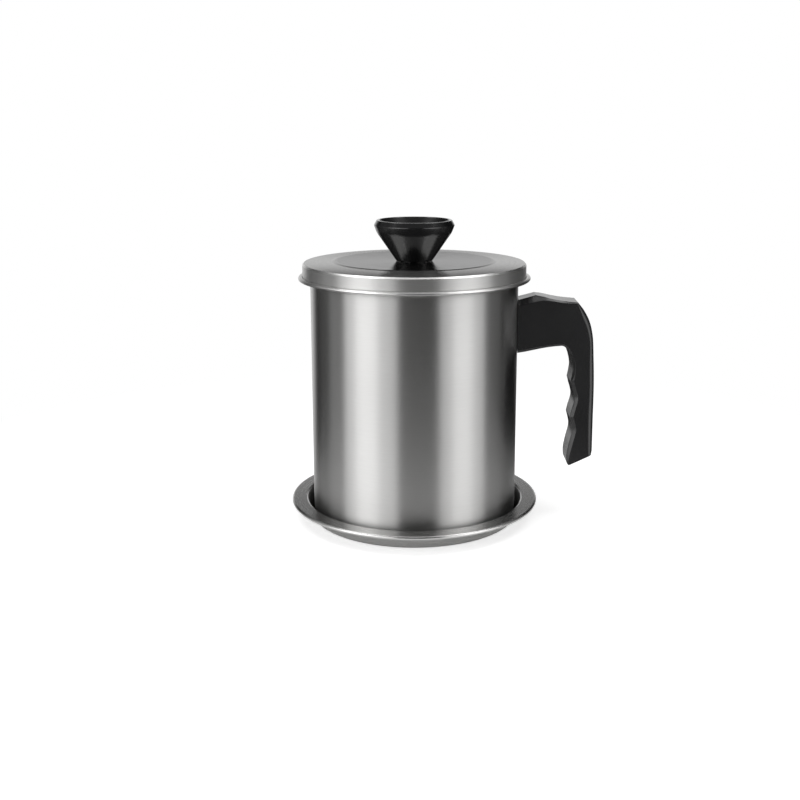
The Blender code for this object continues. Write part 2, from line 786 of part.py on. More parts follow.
def build():
    """Clear the scene and make the container, body by body."""
    for item in list(bpy.data.objects):
        bpy.data.objects.remove(item, do_unlink=True)
    tray_body = body("tray_body", None)
    pot_body = body("pot_body", tray_body)
    strainer_body = body("strainer_body", pot_body)
    lid_body = body("lid_body", strainer_body)
    drip_tray(tray_body)
    for piece in (pot_shell, handle_bracket, bracket_nut, handle,
                  handle_screw, handle_washer, handle_lock_washer):
        piece(pot_body)
    for piece in (strainer_cup, strainer_mesh, strainer_ring):
        piece(strainer_body)
    for piece in (lid_shell, knob, knob_insert, knob_screw, knob_washer):
        piece(lid_body)


build()
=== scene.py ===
"""Fine surfaces, finishes and a studio for a lidded steel grease container.

Every length is in metres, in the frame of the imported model: +Z up, the origin under the middle of the drip tray,
+X towards the handle. Run as a script, it makes each piece by its operator, stage included.
"""

import math

import bpy
import numpy as np
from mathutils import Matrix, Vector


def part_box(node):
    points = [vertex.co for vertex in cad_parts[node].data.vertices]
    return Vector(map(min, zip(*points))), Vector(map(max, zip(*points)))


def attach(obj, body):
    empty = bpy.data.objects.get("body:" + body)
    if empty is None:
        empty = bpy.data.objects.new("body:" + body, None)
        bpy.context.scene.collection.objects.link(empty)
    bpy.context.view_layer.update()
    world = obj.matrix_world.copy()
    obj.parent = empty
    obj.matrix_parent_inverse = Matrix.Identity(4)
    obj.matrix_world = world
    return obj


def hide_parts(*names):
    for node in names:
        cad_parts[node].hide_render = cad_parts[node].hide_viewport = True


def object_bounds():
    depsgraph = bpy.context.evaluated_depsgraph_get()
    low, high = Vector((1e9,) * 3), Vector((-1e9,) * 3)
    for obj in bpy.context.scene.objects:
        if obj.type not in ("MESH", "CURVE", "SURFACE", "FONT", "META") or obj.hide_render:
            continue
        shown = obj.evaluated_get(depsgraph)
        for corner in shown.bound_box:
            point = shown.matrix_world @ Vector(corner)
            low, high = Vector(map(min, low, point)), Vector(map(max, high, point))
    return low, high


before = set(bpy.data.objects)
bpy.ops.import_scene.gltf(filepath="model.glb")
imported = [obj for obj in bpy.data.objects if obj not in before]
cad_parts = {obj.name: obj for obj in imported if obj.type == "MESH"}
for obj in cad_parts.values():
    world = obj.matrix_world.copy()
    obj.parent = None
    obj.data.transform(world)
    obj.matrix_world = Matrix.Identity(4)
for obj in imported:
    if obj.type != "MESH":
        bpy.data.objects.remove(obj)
CAD_LOW, CAD_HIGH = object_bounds()

bl_info = {
    "name": "Grease Container",
    "version": (1, 0, 0),
    "blender": (4, 5, 0),
    "location": "3D View > Sidebar > Container",
    "description": "Brushed steel, moulded plastic and woven strainer for a grease container",
    "category": "Object",
}

MM = 0.001
FULL_TURN = 2 * math.pi
LAY_MAP = "lay"
GAP = 0.3 * MM

# Smoothness
AROUND = 256
KNOB_AROUND = 192
SMALL_AROUND = 64
WIRE_STATIONS = 170
WIRE_SIDES = 4
NOSE_STEPS = 6
BEND_STEP = math.radians(7.5)
GUARD = 0.25 * MM
LONG_LEG = 4 * GUARD
SHARP_ANGLE = math.radians(38)
WIRE_SHARP_ANGLE = math.radians(70)
POLE_SIZE = 1e-7


# Sizes and colours that a user would change

def length(name, default, description):
    """A length in metres."""
    return bpy.props.FloatProperty(name=name, default=default, description=description, unit="LENGTH", precision=5)


def share(name, default, description):
    """A number from 0 to 1."""
    return bpy.props.FloatProperty(
        name=name, default=default, description=description, min=0, max=1, subtype="FACTOR"
    )


def tone(name, default, description):
    """A linear colour."""
    return bpy.props.FloatVectorProperty(
        name=name, default=default, description=description, size=3, min=0, max=1, subtype="COLOR"
    )


class ContainerSheet(bpy.types.PropertyGroup):
    """Sizes of the pressed steel pieces that their outer boxes don't give."""

    thickness: length("Sheet", 0.6 * MM, "Thickness of the tray, pot and lid")
    tray_taper: length("Tray taper", 3.4 * MM, "How far the tray's wall leans out")
    tray_flange: length("Tray flange", 9.35 * MM, "Width of the tray's flat flange with its curl")
    tray_curl: length("Tray curl", 1.2 * MM, "Outer radius of the curl at the tray's edge")
    pot_radius: length("Pot radius", 62.5 * MM, "Outer radius of the pot's straight wall")
    pot_corner: length("Pot corner", 6.0 * MM, "Bend between the pot's base and wall")
    curl: length("Rim curl", 1.6 * MM, "Outer radius of the curls on the pot's and the lid's edge")
    lid_corner: length("Lid corner", 0.9 * MM, "Width and height of the facet between ring and skirt")
    bead_height: length("Bead height", 2.3 * MM, "Height of the flattened bead on the lid's edge")
    ring_rise: length("Ring rise", 1.0 * MM, "How much the lid's ring rises from its edge to the panel")
    panel_radius: length("Panel radius", 47.5 * MM, "Radius of the lid's polished panel")
    panel_step: length("Panel step", 0.3 * MM, "How far the panel stands above the ring")
    panel_slope: length("Panel slope", 2.0 * MM, "Width of the slope round the panel")
    panel_dish: length("Panel dish", 0.5 * MM, "How much the panel falls towards its middle")


class ContainerKnob(bpy.types.PropertyGroup):
    """Sizes of the knob that its outer box doesn't give."""

    base_radius: length("Base radius", 10.9 * MM, "Radius where the knob stands on the lid")
    cone_drop: length("Cone drop", 7.2 * MM, "From the knob's top down to the band")
    cone_step: length("Cone step", 1.6 * MM, "How much the band widens beyond the cone")
    band: length("Band", 2.9 * MM, "Height of the rim above the band's widest line")
    lean: length("Lean", 1.6 * MM, "How far the rim leans in")
    rim: length("Rim", 1.4 * MM, "Width of the flat rim")
    dish_depth: length("Dish depth", 9.5 * MM, "Depth of the dish in the knob's top")
    dish_radius: length("Dish radius", 12.0 * MM, "Radius of the dish's floor")


class ContainerStrainer(bpy.types.PropertyGroup):
    """Sizes of the strainer's cup and woven mesh."""

    thickness: length("Cup sheet", 0.5 * MM, "Thickness of the strainer's cup")
    hem: length("Hem", 1.5 * MM, "Outer radius of the hem on the cup's edge")
    wire: length("Wire", 0.38 * MM, "Diameter of the mesh's wire")
    pitch: length("Pitch", 1.9 * MM, "Distance between two wires")


class ContainerFinish(bpy.types.PropertyGroup):
    """Colours and surface of the steel, plastic and brass."""

    steel: tone("Steel", (0.60, 0.597, 0.59), "Colour of the brushed pot and tray")
    # Painted shade: the tray's well gets this dark copy of the steel for the shadow between the tray's wall and the
    # pot.
    well_shade: tone("Tray well", (0.20, 0.199, 0.197), "Colour of the steel inside the tray, painted darker as shade")
    # The lid operator paints lighter and darker copies of the lid's steel, and the panel's own colour is darker
    # than the steel as painted shade on its reflections.
    lid: tone("Lid steel", (0.62, 0.617, 0.61), "Colour of the lid's brushed ring and skirt")
    panel: tone("Lid panel", (0.30, 0.299, 0.296), "Colour of the lid's polished panel")
    plated: tone("Plated steel", (0.70, 0.70, 0.70), "Colour of screws, nut and washers")
    brass: tone("Brass", (0.66, 0.48, 0.20), "Colour of the knob's insert")
    handle: tone("Handle", (0.010, 0.010, 0.0104), "Colour of the handle's plastic")
    knob: tone("Knob", (0.004, 0.004, 0.0043), "Colour of the knob's plastic")
    grain: share("Grain", 0.55, "How strongly the brush lines show")


class ContainerStudio(bpy.types.PropertyGroup):
    """Lamps and surroundings."""

    lamp_distance: length("Lamp distance", 0.95, "From the container's axis to each large lamp")
    lamp_height: length("Lamp height", 1.1, "Height of each large lamp")
    lamp_drop: length("Lamp drop", 0.30, "How far each large lamp reaches down past the table")
    table_radius: length("Table radius", 0.18, "How far the table reaches in reflections")
    floor_radius: length("Floor radius", 4.0, "How far the pale floor reaches")
    room: share("Room", 0.01, "Brightness of the dark room in reflections")
    ceiling: share("Ceiling", 0.18, "Brightness of the ceiling in reflections")
    backdrop: share("Backdrop", 1.0, "Brightness of the wall behind in reflections")


class ContainerSettings(bpy.types.PropertyGroup):
    """All groups, kept on the scene."""

    sheet: bpy.props.PointerProperty(type=ContainerSheet)
    knob: bpy.props.PointerProperty(type=ContainerKnob)
    strainer: bpy.props.PointerProperty(type=ContainerStrainer)
    finish: bpy.props.PointerProperty(type=ContainerFinish)
    studio: bpy.props.PointerProperty(type=ContainerStudio)


# Profiles, each an array of rows of radius and height

def arc(centre, radius, start, end, flat=1.0):
    """Points from one angle in degrees to another on a circle, or on an ellipse when flat is less than one.

    Centre plus radius times cosine across, and radius times flat times sine up.
    """
    steps = max(2, math.ceil(abs(math.radians(end - start)) / BEND_STEP))
    angles = np.radians(np.linspace(start, end, steps + 1))
    return np.stack([centre[0] + radius * np.cos(angles), centre[1] + radius * flat * np.sin(angles)], 1)


def bend_path(corners):
    """Straight legs joined by arcs.

    Each corner is across, up and bend. The arc's centre lies on the corner's bisector, bend / sin(half angle) away,
    and the arc runs between the feet of its perpendiculars on both legs. A corner without a bend stays crisp.
    """
    points = [np.array(corners[0][:2], float)[None]]
    for before, here, after in zip(corners, corners[1:], corners[2:]):
        spot, bend = np.array(here[:2], float), here[2]
        back = np.array(before[:2]) - spot
        on = np.array(after[:2]) - spot
        room = min(np.linalg.norm(back), np.linalg.norm(on))
        back, on = back / np.linalg.norm(back), on / np.linalg.norm(on)
        half = math.acos(np.clip(back @ on, -1, 1)) / 2
        if bend <= 0:
            points.append(spot[None])
            continue
        bend = min(bend, room * math.tan(half))
        middle = spot + (back + on) / np.linalg.norm(back + on) * bend / math.sin(half)
        spoke = spot + back * bend / math.tan(half) - middle
        swing = math.copysign(math.pi - 2 * half, on[0] * back[1] - on[1] * back[0])
        turns = np.linspace(0, swing, max(2, math.ceil(abs(swing) / BEND_STEP)) + 1)
        cos, sin = np.cos(turns), np.sin(turns)
        points.append(middle + np.stack([spoke[0] * cos - spoke[1] * sin, spoke[0] * sin + spoke[1] * cos], 1))
    points.append(np.array(corners[-1][:2], float)[None])
    return np.concatenate(points)


def path(*stretches):
    """Join stretches of points end to end and drop points that repeat."""
    points = np.concatenate([np.atleast_2d(np.array(stretch, float)) for stretch in stretches])
    fresh = np.r_[True, np.linalg.norm(np.diff(points, axis=0), axis=1) > POLE_SIZE]
    return points[fresh]


def sheet(face, thickness):
    """Outline of a sheet that has one face along a path and the other a thickness to its left.

    The second face is the first plus the mitre of the neighbouring legs' normals, scaled so that the distance to
    both legs is the thickness. The free edge is a half round.
    """
    legs = np.diff(face, axis=0)
    legs /= np.linalg.norm(legs, axis=1, keepdims=True)
    first = np.vstack([legs[:1], legs])
    last = np.vstack([legs, legs[-1:]])
    mitre = np.stack([-first[:, 1] - last[:, 1], first[:, 0] + last[:, 0]], 1)
    mitre /= 1 + (first * last).sum(1, keepdims=True)
    other = face + mitre * thickness
    middle = (face[-1] + other[-1]) / 2
    reach, ahead = face[-1] - middle, legs[-1] * abs(thickness) / 2
    turns = np.linspace(0, math.pi, NOSE_STEPS + 1)[1:-1, None]
    nose = middle + reach * np.cos(turns) + ahead * np.sin(turns)
    return np.concatenate([face, nose, other[::-1]])


# Meshes

def surface(name, points, along, wrap_rows=False):
    """Mesh of a grid of points whose columns close round.

    Row i, column j joins its neighbours by a quad, and a row that shrinks to one point becomes a pole. The map
    called lay holds the distance along the rows and the share of the turn, so its first axis crosses the brush
    lines.
    """
    rows, columns = points.shape[:2]
    poles = np.ptp(points, axis=1).max(axis=1) < POLE_SIZE
    counts = np.where(poles, 1, columns)
    starts = np.concatenate([[0], np.cumsum(counts)[:-1]])
    index = starts[:, None] + np.where(poles[:, None], 0, np.arange(columns)[None])
    keep = ~poles[:, None] | (np.arange(columns)[None] == 0)
    spots = points.reshape(-1, 3)[keep.ravel()]
    low, left = np.indices((rows if wrap_rows else rows - 1, columns)).reshape(2, -1)
    high, right = (low + 1) % rows, (left + 1) % columns
    quads = np.stack([index[low, left], index[low, right], index[high, right], index[high, left]], 1)
    far = np.r_[along, along[-1] + np.linalg.norm(points[0, 0] - points[-1, 0])]
    crossing = np.stack([far[low], far[low], far[low + 1], far[low + 1]], 1)
    turn = np.stack([left, left + 1, left + 1, left], 1) / columns
    faces, lay = [], []
    kinds = ((~poles[low] & ~poles[high], (0, 1, 2, 3)), (poles[low], (0, 2, 3)), (poles[high], (0, 1, 2)))
    for kind, corners in kinds:
        faces += quads[kind][:, corners].tolist()
        lay.append(np.stack([crossing[kind][:, corners], turn[kind][:, corners]], -1).reshape(-1, 2))
    mesh = bpy.data.meshes.new(name)
    mesh.from_pydata(spots.tolist(), [], faces)
    mesh.uv_layers.new(name=LAY_MAP).uv.foreach_set("vector", np.concatenate(lay).astype(np.float32).ravel())
    return placed(mesh, SHARP_ANGLE)


def read(rows, name, width, kind=np.float32):
    """One property of each vertex, triangle or face, as an array with a row for each."""
    values = np.zeros(len(rows) * width, kind)
    rows.foreach_get(name, values)
    return values.reshape(-1, width)


def placed(mesh, sharp_angle):
    """Turn a closed mesh's faces outwards, smooth them and put it in the scene.

    The signed volume, a sixth of the sum of each triangle's triple product, is negative while faces point inwards.
    """
    mesh.calc_loop_triangles()
    corners = read(mesh.loop_triangles, "vertices", 3, np.int32)
    a, b, c = read(mesh.vertices, "co", 3).astype(float)[corners.T]
    if np.einsum("ij,ij->", a, np.cross(b, c)) < 0:
        mesh.flip_normals()
    mesh.shade_smooth()
    mesh.set_sharp_from_angle(angle=sharp_angle)
    item = bpy.data.objects.new(mesh.name, mesh)
    bpy.context.scene.collection.objects.link(item)
    return item


def closed_tubes(name, rings):
    """Mesh of many closed tubes: rings holds tubes, stations along each and points round each station."""
    tubes, stations, sides = rings.shape[:3]
    index = np.arange(tubes * stations * sides).reshape(tubes, stations, sides)
    turned_on = np.roll(index, -1, axis=2)
    walls = np.stack([index[:, :-1], turned_on[:, :-1], turned_on[:, 1:], index[:, 1:]], -1).reshape(-1, 4)
    faces = walls.tolist() + index[:, 0, ::-1].tolist() + index[:, -1].tolist()
    mesh = bpy.data.meshes.new(name)
    mesh.from_pydata(rings.reshape(-1, 3).tolist(), [], faces)
    return placed(mesh, WIRE_SHARP_ANGLE)


def woven(name, radius, level, wire, pitch):
    """Plain weave that fills a disc, a tube round a wave for each wire.

    Wire k runs along X at k pitches across, as long as the disc is wide there. Its middle stands half a wire over
    or under the level, times the cosine of pi times the way along in pitches, and every second wire is turned over.
    The wires along Y are the same with X and Y swapped and the heights turned over.
    """
    number = np.arange(-int(radius / pitch), int(radius / pitch) + 1)
    offset = (number * pitch)[:, None, None]
    half = np.sqrt(radius ** 2 - offset ** 2)
    run = half * np.linspace(-1, 1, WIRE_STATIONS)[None, :, None]
    over = np.where(number % 2 == 0, 1, -1)[:, None, None]
    turns = steps_round(WIRE_SIDES) + FULL_TURN / WIRE_SIDES / 2
    across = offset + wire / 2 * np.cos(turns) + 0 * run
    up = wire / 2 * (over * np.cos(math.pi * run / pitch) + np.sin(turns))
    along = run + 0 * across
    warp = np.stack([along, across, level + up], -1)
    weft = np.stack([across, along, level - up], -1)
    return closed_tubes(name, np.concatenate([warp, weft]))


def steps_round(count):
    """Even steps round a full turn."""
    return np.arange(count) * FULL_TURN / count


def spun(radius, height, turns):
    """Rows of points round Z: radius times the cosine and sine of the turn, and the height."""
    return np.stack([radius * np.cos(turns), radius * np.sin(turns), height + 0 * turns], -1)


def lengths(profile):
    """Distance along a profile up to each of its points."""
    return np.r_[0, np.cumsum(np.linalg.norm(np.diff(profile, axis=0), axis=1))]


def guarded(profile):
    """Add a point close to each end of a long leg, so that the shading of a bend stays on the bend."""
    along = lengths(profile)
    long_legs = np.diff(along) > LONG_LEG
    extra = np.concatenate([along[:-1][long_legs] + GUARD, along[1:][long_legs] - GUARD])
    every = np.sort(np.concatenate([along, extra]))
    return np.stack([np.interp(every, along, profile[:, 0]), np.interp(every, along, profile[:, 1])], 1)


def turned(name, profile, around=AROUND, wrap_rows=False):
    """Surface of revolution: a profile of radius and height spun about Z."""
    profile = guarded(profile)
    return surface(name, spun(profile[:, :1], profile[:, 1:], steps_round(around)), lengths(profile), wrap_rows)


def lay_along_x(item, level):
    """Turn a mesh made about Z so that it points along +X at a level: (x, y, z) becomes (z, y, level - x)."""
    mesh = item.data
    x, y, z = read(mesh.vertices, "co", 3).T
    mesh.vertices.foreach_set("co", np.stack([z, y, level - x], 1).astype(np.float32).ravel())
    mesh.update()
    return item


def settle(item, body, slot, material, *nodes):
    """Put a finish on a piece, carry it on a body and let it stand for its nodes."""
    item.data.materials.clear()
    item.data.materials.append(material)
    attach(item, body)
    if nodes:
        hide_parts(*nodes)


def places(item):
    """How far each face's middle is from the axis, and its height."""
    x, y, z = read(item.data.polygons, "center", 3).T
    return np.hypot(x, y), z


def other_finish(item, material, chosen):
    """Give the chosen faces of a piece a material of their own."""
    mesh = item.data
    mesh.materials.append(material)
    index = read(mesh.polygons, "material_index", 1, np.int32)[:, 0]
    mesh.polygons.foreach_set("material_index", np.where(chosen, len(mesh.materials) - 1, index).astype(np.int32))


def dress(node, material):
    """Give a CAD node a finish in place."""
    for slot in bpy.data.objects[node].material_slots:
        slot.material = material


def radius_of(node):
    """Half the width of a node across Y."""
    low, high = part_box(node)
    return (high.y - low.y) / 2


# Fasteners

SCREW_RADIUS = 2 * MM
SCREW_HOLE = 2.3 * MM
THREAD_PITCH = 0.7 * MM
THREAD_DEPTH = 0.35 * MM
THREAD_ROWS = 8
POINT_SHARE = 0.35
OVERLAP = 0.05 * MM
NECK_STEP = 0.4 * MM
NECK_LENGTH = 0.1 * MM
HEAD_EDGE = 0.15 * MM
HEAD_BEND = 0.9 * MM
HEAD_RISE = 0.08 * MM
HEAD_FLAT_SHARE = 0.3
CROSS_ARM = 1.9 * MM
CROSS_HALF_WIDTH = 0.45 * MM
CROSS_DEPTH = 1.3 * MM
CROSS_TOP_SHARE = 1.25
CROSS_FLOOR_SHARE = 0.45
WASHER_EDGE = 0.15 * MM


def threaded(name, tip, seat):
    """Screw shank about Z with a single thread, closed by its point and a flat end inside the head.

    The radius is the full one less the depth times a triangle wave of the height in pitches less the share of the
    turn. The wave fades out over the last pitch before the point.
    """
    rows = int(abs(seat - tip) / THREAD_PITCH * THREAD_ROWS)
    height = np.linspace(tip, seat, rows)[:, None]
    turns = steps_round(SMALL_AROUND)
    phase = (height - tip) / THREAD_PITCH - turns[None] / FULL_TURN
    wave = np.abs(2 * (phase - np.floor(phase)) - 1)
    taper = np.clip(1 - np.abs(height - tip) / THREAD_PITCH, 0, 1)
    reach = SCREW_RADIUS - THREAD_DEPTH * wave * (1 - taper) - POINT_SHARE * SCREW_RADIUS * taper
    points = np.concatenate([spun(0, tip, turns)[None], spun(reach, height, turns), spun(0, seat, turns)[None]])
    return surface(name, points, np.linspace(0, 1, len(points)))


def screw_head(name, radius, seat, height, way):
    """Pan head from its seat outwards, on a neck that runs back into the shank."""
    neck, back = SCREW_RADIUS - NECK_STEP, seat - way * NECK_LENGTH
    crown = seat + way * height
    middle = crown + way * HEAD_RISE
    outline = bend_path([
        (0, back, 0), (neck, back, 0), (neck, seat, 0), (radius, seat, HEAD_EDGE), (radius, crown, HEAD_BEND),
        (radius * HEAD_FLAT_SHARE, middle, 0), (0, middle, 0),
    ])
    return turned(name, outline, SMALL_AROUND)


def cross_pit(name, crown, way):
    """Cutter for a cross recess: a plus-shaped outline that narrows with depth, closed at both ends."""
    arm, half = CROSS_ARM, CROSS_HALF_WIDTH
    plus = np.array([
        (arm, -half), (arm, half), (half, half), (half, arm), (-half, arm), (-half, half),
        (-arm, half), (-arm, -half), (-half, -half), (-half, -arm), (half, -arm), (half, -half),
    ])
    above, bottom = crown + way * MM, crown - way * CROSS_DEPTH
    levels = np.array([above, above, bottom, bottom])
    shares = np.array([0, CROSS_TOP_SHARE, CROSS_FLOOR_SHARE, 0])
    flat = plus[None] * shares[:, None, None]
    points = np.concatenate([flat, levels[:, None, None] + 0 * flat[..., :1]], -1)
    return surface(name, points, np.linspace(0, 1, len(points)))


def screw(name, head, tip, seat, crown):
    """Threaded shank and cross-headed pan head, joined into one piece."""
    way = math.copysign(1, crown - seat)
    item = threaded(name, tip, seat - way * OVERLAP)
    top = screw_head(name + "_head", head, seat, abs(crown - seat), way)
    top = cut(top, cross_pit(name + "_cross", crown, way))
    with bpy.context.temp_override(active_object=item, selected_editable_objects=[item, top]):
        bpy.ops.object.join()
    return item


def flat_ring(name, hole, radius, low, high, rounding):
    """Washer with rounded edges, from a closed outline of radius and height."""
    outline = bend_path([
        (hole, (low + high) / 2, 0), (hole, low, rounding), (radius, low, rounding), (radius, high, rounding),
        (hole, high, rounding), (hole, (low + high) / 2, 0),
    ])
    return turned(name, path(outline)[:-1], SMALL_AROUND, wrap_rows=True)


# Finishes

RELIEF = 0.03 * MM
SCRATCH = 0.02 * MM
MOULD_WAVE = 0.6 * MM


class Nodes:
    """The node tree of a material or the world, with short ways to add and join nodes."""

    def __init__(self, owner):
        owner.use_nodes = True
        self.owner, self.tree = owner, owner.node_tree
        self.tree.nodes.clear()
        self.output = self.add("OutputWorld" if isinstance(owner, bpy.types.World) else "OutputMaterial")

    def add(self, kind, settings=None, **inputs):
        """Add a node, set its own settings, and give its sockets a value or the output that feeds them.

        A socket goes by its name with underscores for spaces, or by the letter s and its number.
        """
        node = self.tree.nodes.new("ShaderNode" + kind)
        for name, value in (settings or {}).items():
            setattr(node, name, value)
        for name, value in inputs.items():
            socket = node.inputs[int(name[1:])] if name[1:].isdigit() else node.inputs[name.replace("_", " ")]
            if isinstance(value, bpy.types.NodeSocket):
                self.tree.links.new(value, socket)
            else:
                socket.default_value = value
        return node

    def maths(self, operation, first, *others):
        """Numbers brought together by one kind of sum, from left to right."""
        for other in others:
            first = self.add("Math", {"operation": operation}, s0=first, s1=other).outputs[0]
        return first

    def vector(self, operation, **inputs):
        """One sum on vectors."""
        return self.add("VectorMath", {"operation": operation}, **inputs).outputs

    def length(self, vector):
        """How long a vector is."""
        return self.vector("LENGTH", s0=vector)["Value"]

    def place(self):
        """Where a point is on the object."""
        return self.add("TexCoord").outputs["Object"]

    def from_axis(self):
        """The way from the axis to a point, level with it."""
        spot = self.add("SeparateXYZ", Vector=self.place()).outputs
        return self.add("CombineXYZ", X=spot[0], Y=spot[1]).outputs[0]

    def tangent(self):
        """The way across the brush lines."""
        return self.add("Tangent", {"direction_type": "UV_MAP", "uv_map": LAY_MAP}).outputs[0]

    def noise(self, place, scale, detail, roughness=0.5):
        """Smooth noise about one half at a place."""
        return self.add(
            "TexNoise", {"noise_dimensions": "3D"}, Vector=place, Scale=scale, Detail=detail, Roughness=roughness
        ).outputs["Fac"]

    def spread(self, value, low, high, start=0.25, end=0.75):
        """A number from start to end brought to the range from low to high."""
        return self.add("MapRange", Value=value, From_Min=start, From_Max=end, To_Min=low, To_Max=high).outputs[0]

    def weighed(self, first, second, weight):
        """Two numbers added up, the first by a weight and the second by the rest of one."""
        return self.maths("ADD", self.maths("MULTIPLY", first, weight), self.maths("MULTIPLY", second, 1 - weight))

    def blend(self, share, first, second):
        """Two numbers mixed by a share."""
        return self.add("Mix", {"data_type": "FLOAT"}, s0=share, s2=first, s3=second).outputs[0]

    def mix(self, share, dark, light):
        """Two colours mixed by a share."""
        dark, light = (
            value if isinstance(value, bpy.types.NodeSocket) else (*value, 1) for value in (dark, light)
        )
        return self.add("Mix", {"data_type": "RGBA"}, s0=share, s6=dark, s7=light).outputs[2]

    def lined(self, lines, colour, swing):
        """A colour that brush lines darken by up to a swing and lighten by half of it."""
        dark, light = shaded(colour, 1 - swing), shaded(colour, 1 + swing / 2)
        return self.mix(self.spread(lines, 0, 1, 0.3, 0.7), dark, light)

    def bump(self, height, strength, distance, **below):
        """A normal bent by a height, over the normal below where one is given."""
        return self.add("Bump", Height=height, Strength=strength, Distance=distance, **below).outputs[0]

    def shader(self, **inputs):
        """Finish with the Principled shader."""
        return self.finish(self.add("BsdfPrincipled", **inputs))

    def finish(self, node):
        """Join a shader to the output, and give back the material or world."""
        self.tree.links.new(node.outputs[0], self.output.inputs[0])
        return self.owner


def named(name):
    """The material of a name, made where there is none."""
    return bpy.data.materials.get(name) or bpy.data.materials.new(name)


def shaded(colour, share):
    """A colour made darker or lighter by a share."""
    return tuple(channel * share for channel in colour)


def round_lay(nodes, cells, lines):
    """Places for brush lines that run round Z.

    The direction from the axis, times a few cells, changes slowly along a line. The distance along the profile,
    times the lines in a metre, changes fast across it.
    """
    outwards = nodes.vector("SCALE", s0=nodes.vector("NORMALIZE", s0=nodes.from_axis())[0], Scale=cells)[0]
    crossing = nodes.add("SeparateXYZ", Vector=nodes.add("UVMap", {"uv_map": LAY_MAP}).outputs[0]).outputs[0]
    rise = nodes.add("CombineXYZ", Z=nodes.maths("MULTIPLY", crossing, lines)).outputs[0]
    return nodes.vector("ADD", s0=outwards, s1=rise)[0]


def brushed(name, colour, grain, roughness, anisotropic, metallic=1.0):
    """Satin steel brushed round the axis: fine and coarse lines in colour, roughness and height.

    Without grain, as on a narrow edge, the lines only show in the roughness.
    """
    nodes = Nodes(named(name))
    hair = nodes.noise(round_lay(nodes, cells=9, lines=5200), scale=1, detail=3, roughness=0.65)
    streak = nodes.noise(round_lay(nodes, cells=5, lines=1300), scale=1, detail=4, roughness=0.6)
    cloud = nodes.noise(nodes.place(), scale=22, detail=2)
    lines = nodes.weighed(hair, streak, 0.6)
    lined_rough = nodes.spread(lines, roughness - 0.05, roughness + 0.05)
    rough = nodes.maths("ADD", lined_rough, nodes.spread(cloud, -0.012, 0.012))
    look = {"Base_Color": (*colour, 1)}
    if grain:
        look["Base_Color"] = nodes.lined(lines, colour, 0.10 * grain)
        look["Normal"] = nodes.bump(lines, 0.35 * grain, RELIEF)
    return nodes.shader(
        Metallic=metallic, Roughness=rough, Anisotropic=anisotropic, Tangent=nodes.tangent(), **look
    )


def lid_top(name, panel, ring, grain, inner, outer):
    """The lid's top: a polished panel that passes over between two radii into a ring brushed round the axis."""
    nodes = Nodes(named(name))
    change = nodes.spread(nodes.length(nodes.from_axis()), 0, 1, 2 * inner - outer, outer)
    hair = nodes.noise(round_lay(nodes, cells=7, lines=4200), scale=1, detail=3, roughness=0.65)
    streak = nodes.noise(round_lay(nodes, cells=4, lines=700), scale=1, detail=3, roughness=0.6)
    haze = nodes.noise(nodes.place(), scale=140, detail=4, roughness=0.6)
    lines = nodes.weighed(hair, streak, 0.5)
    polish = nodes.mix(nodes.spread(haze, 0, 1), shaded(panel, 0.96), shaded(panel, 1.03))
    ripple = nodes.maths("MULTIPLY", lines, change, grain)
    return nodes.shader(
        Base_Color=nodes.mix(change, polish, nodes.lined(lines, ring, 0.40 * grain)), Metallic=1.0,
        Roughness=nodes.blend(change, nodes.spread(haze, 0.12, 0.17), nodes.spread(lines, 0.19, 0.27)),
        Anisotropic=0.7, Tangent=nodes.tangent(), Specular_Tint=(0.52, 0.52, 0.52, 1),
        Normal=nodes.bump(ripple, 0.30, RELIEF),
    )


def plain_steel(name, colour, roughness, scale=900):
    """Rolled or plated steel with fine scratches all ways and faint stains."""
    nodes = Nodes(named(name))
    place = nodes.place()
    pits = nodes.noise(place, scale, detail=3)
    stain = nodes.noise(place, scale=90, detail=3)
    tint = nodes.mix(nodes.spread(stain, 0, 1), shaded(colour, 0.90), colour)
    rough = nodes.spread(nodes.weighed(pits, stain, 0.5), roughness - 0.04, roughness + 0.05)
    return nodes.shader(Base_Color=tint, Metallic=1.0, Roughness=rough, Normal=nodes.bump(pits, 0.15, SCRATCH))


def moulded(name, colour, roughness, texture, scale, shine, coat=0):
    """Black moulded plastic: a fine even texture, slow waves left by the mould, and faint cloudiness."""
    nodes = Nodes(named(name))
    place = nodes.place()
    fine = nodes.noise(place, scale, detail=2)
    wave = nodes.noise(place, scale=45, detail=1)
    tint = nodes.mix(nodes.spread(wave, 0, 1), shaded(colour, 0.85), shaded(colour, 1.15))
    skin = nodes.bump(fine, texture, RELIEF)
    return nodes.shader(
        Base_Color=tint, Roughness=nodes.spread(fine, roughness - 0.04, roughness + 0.04),
        Specular_IOR_Level=shine, Normal=nodes.bump(wave, 0.05, MOULD_WAVE, Normal=skin),
        Coat_Weight=coat, Coat_IOR=1.8, Coat_Roughness=roughness,
    )


# Handle

# Each row holds a station, how far out and how far down it is as shares of the reach and the drop, how far the edge
# is cut back as a share of the thickness, and how soft the cut is. Stretches meet at crisp corners.

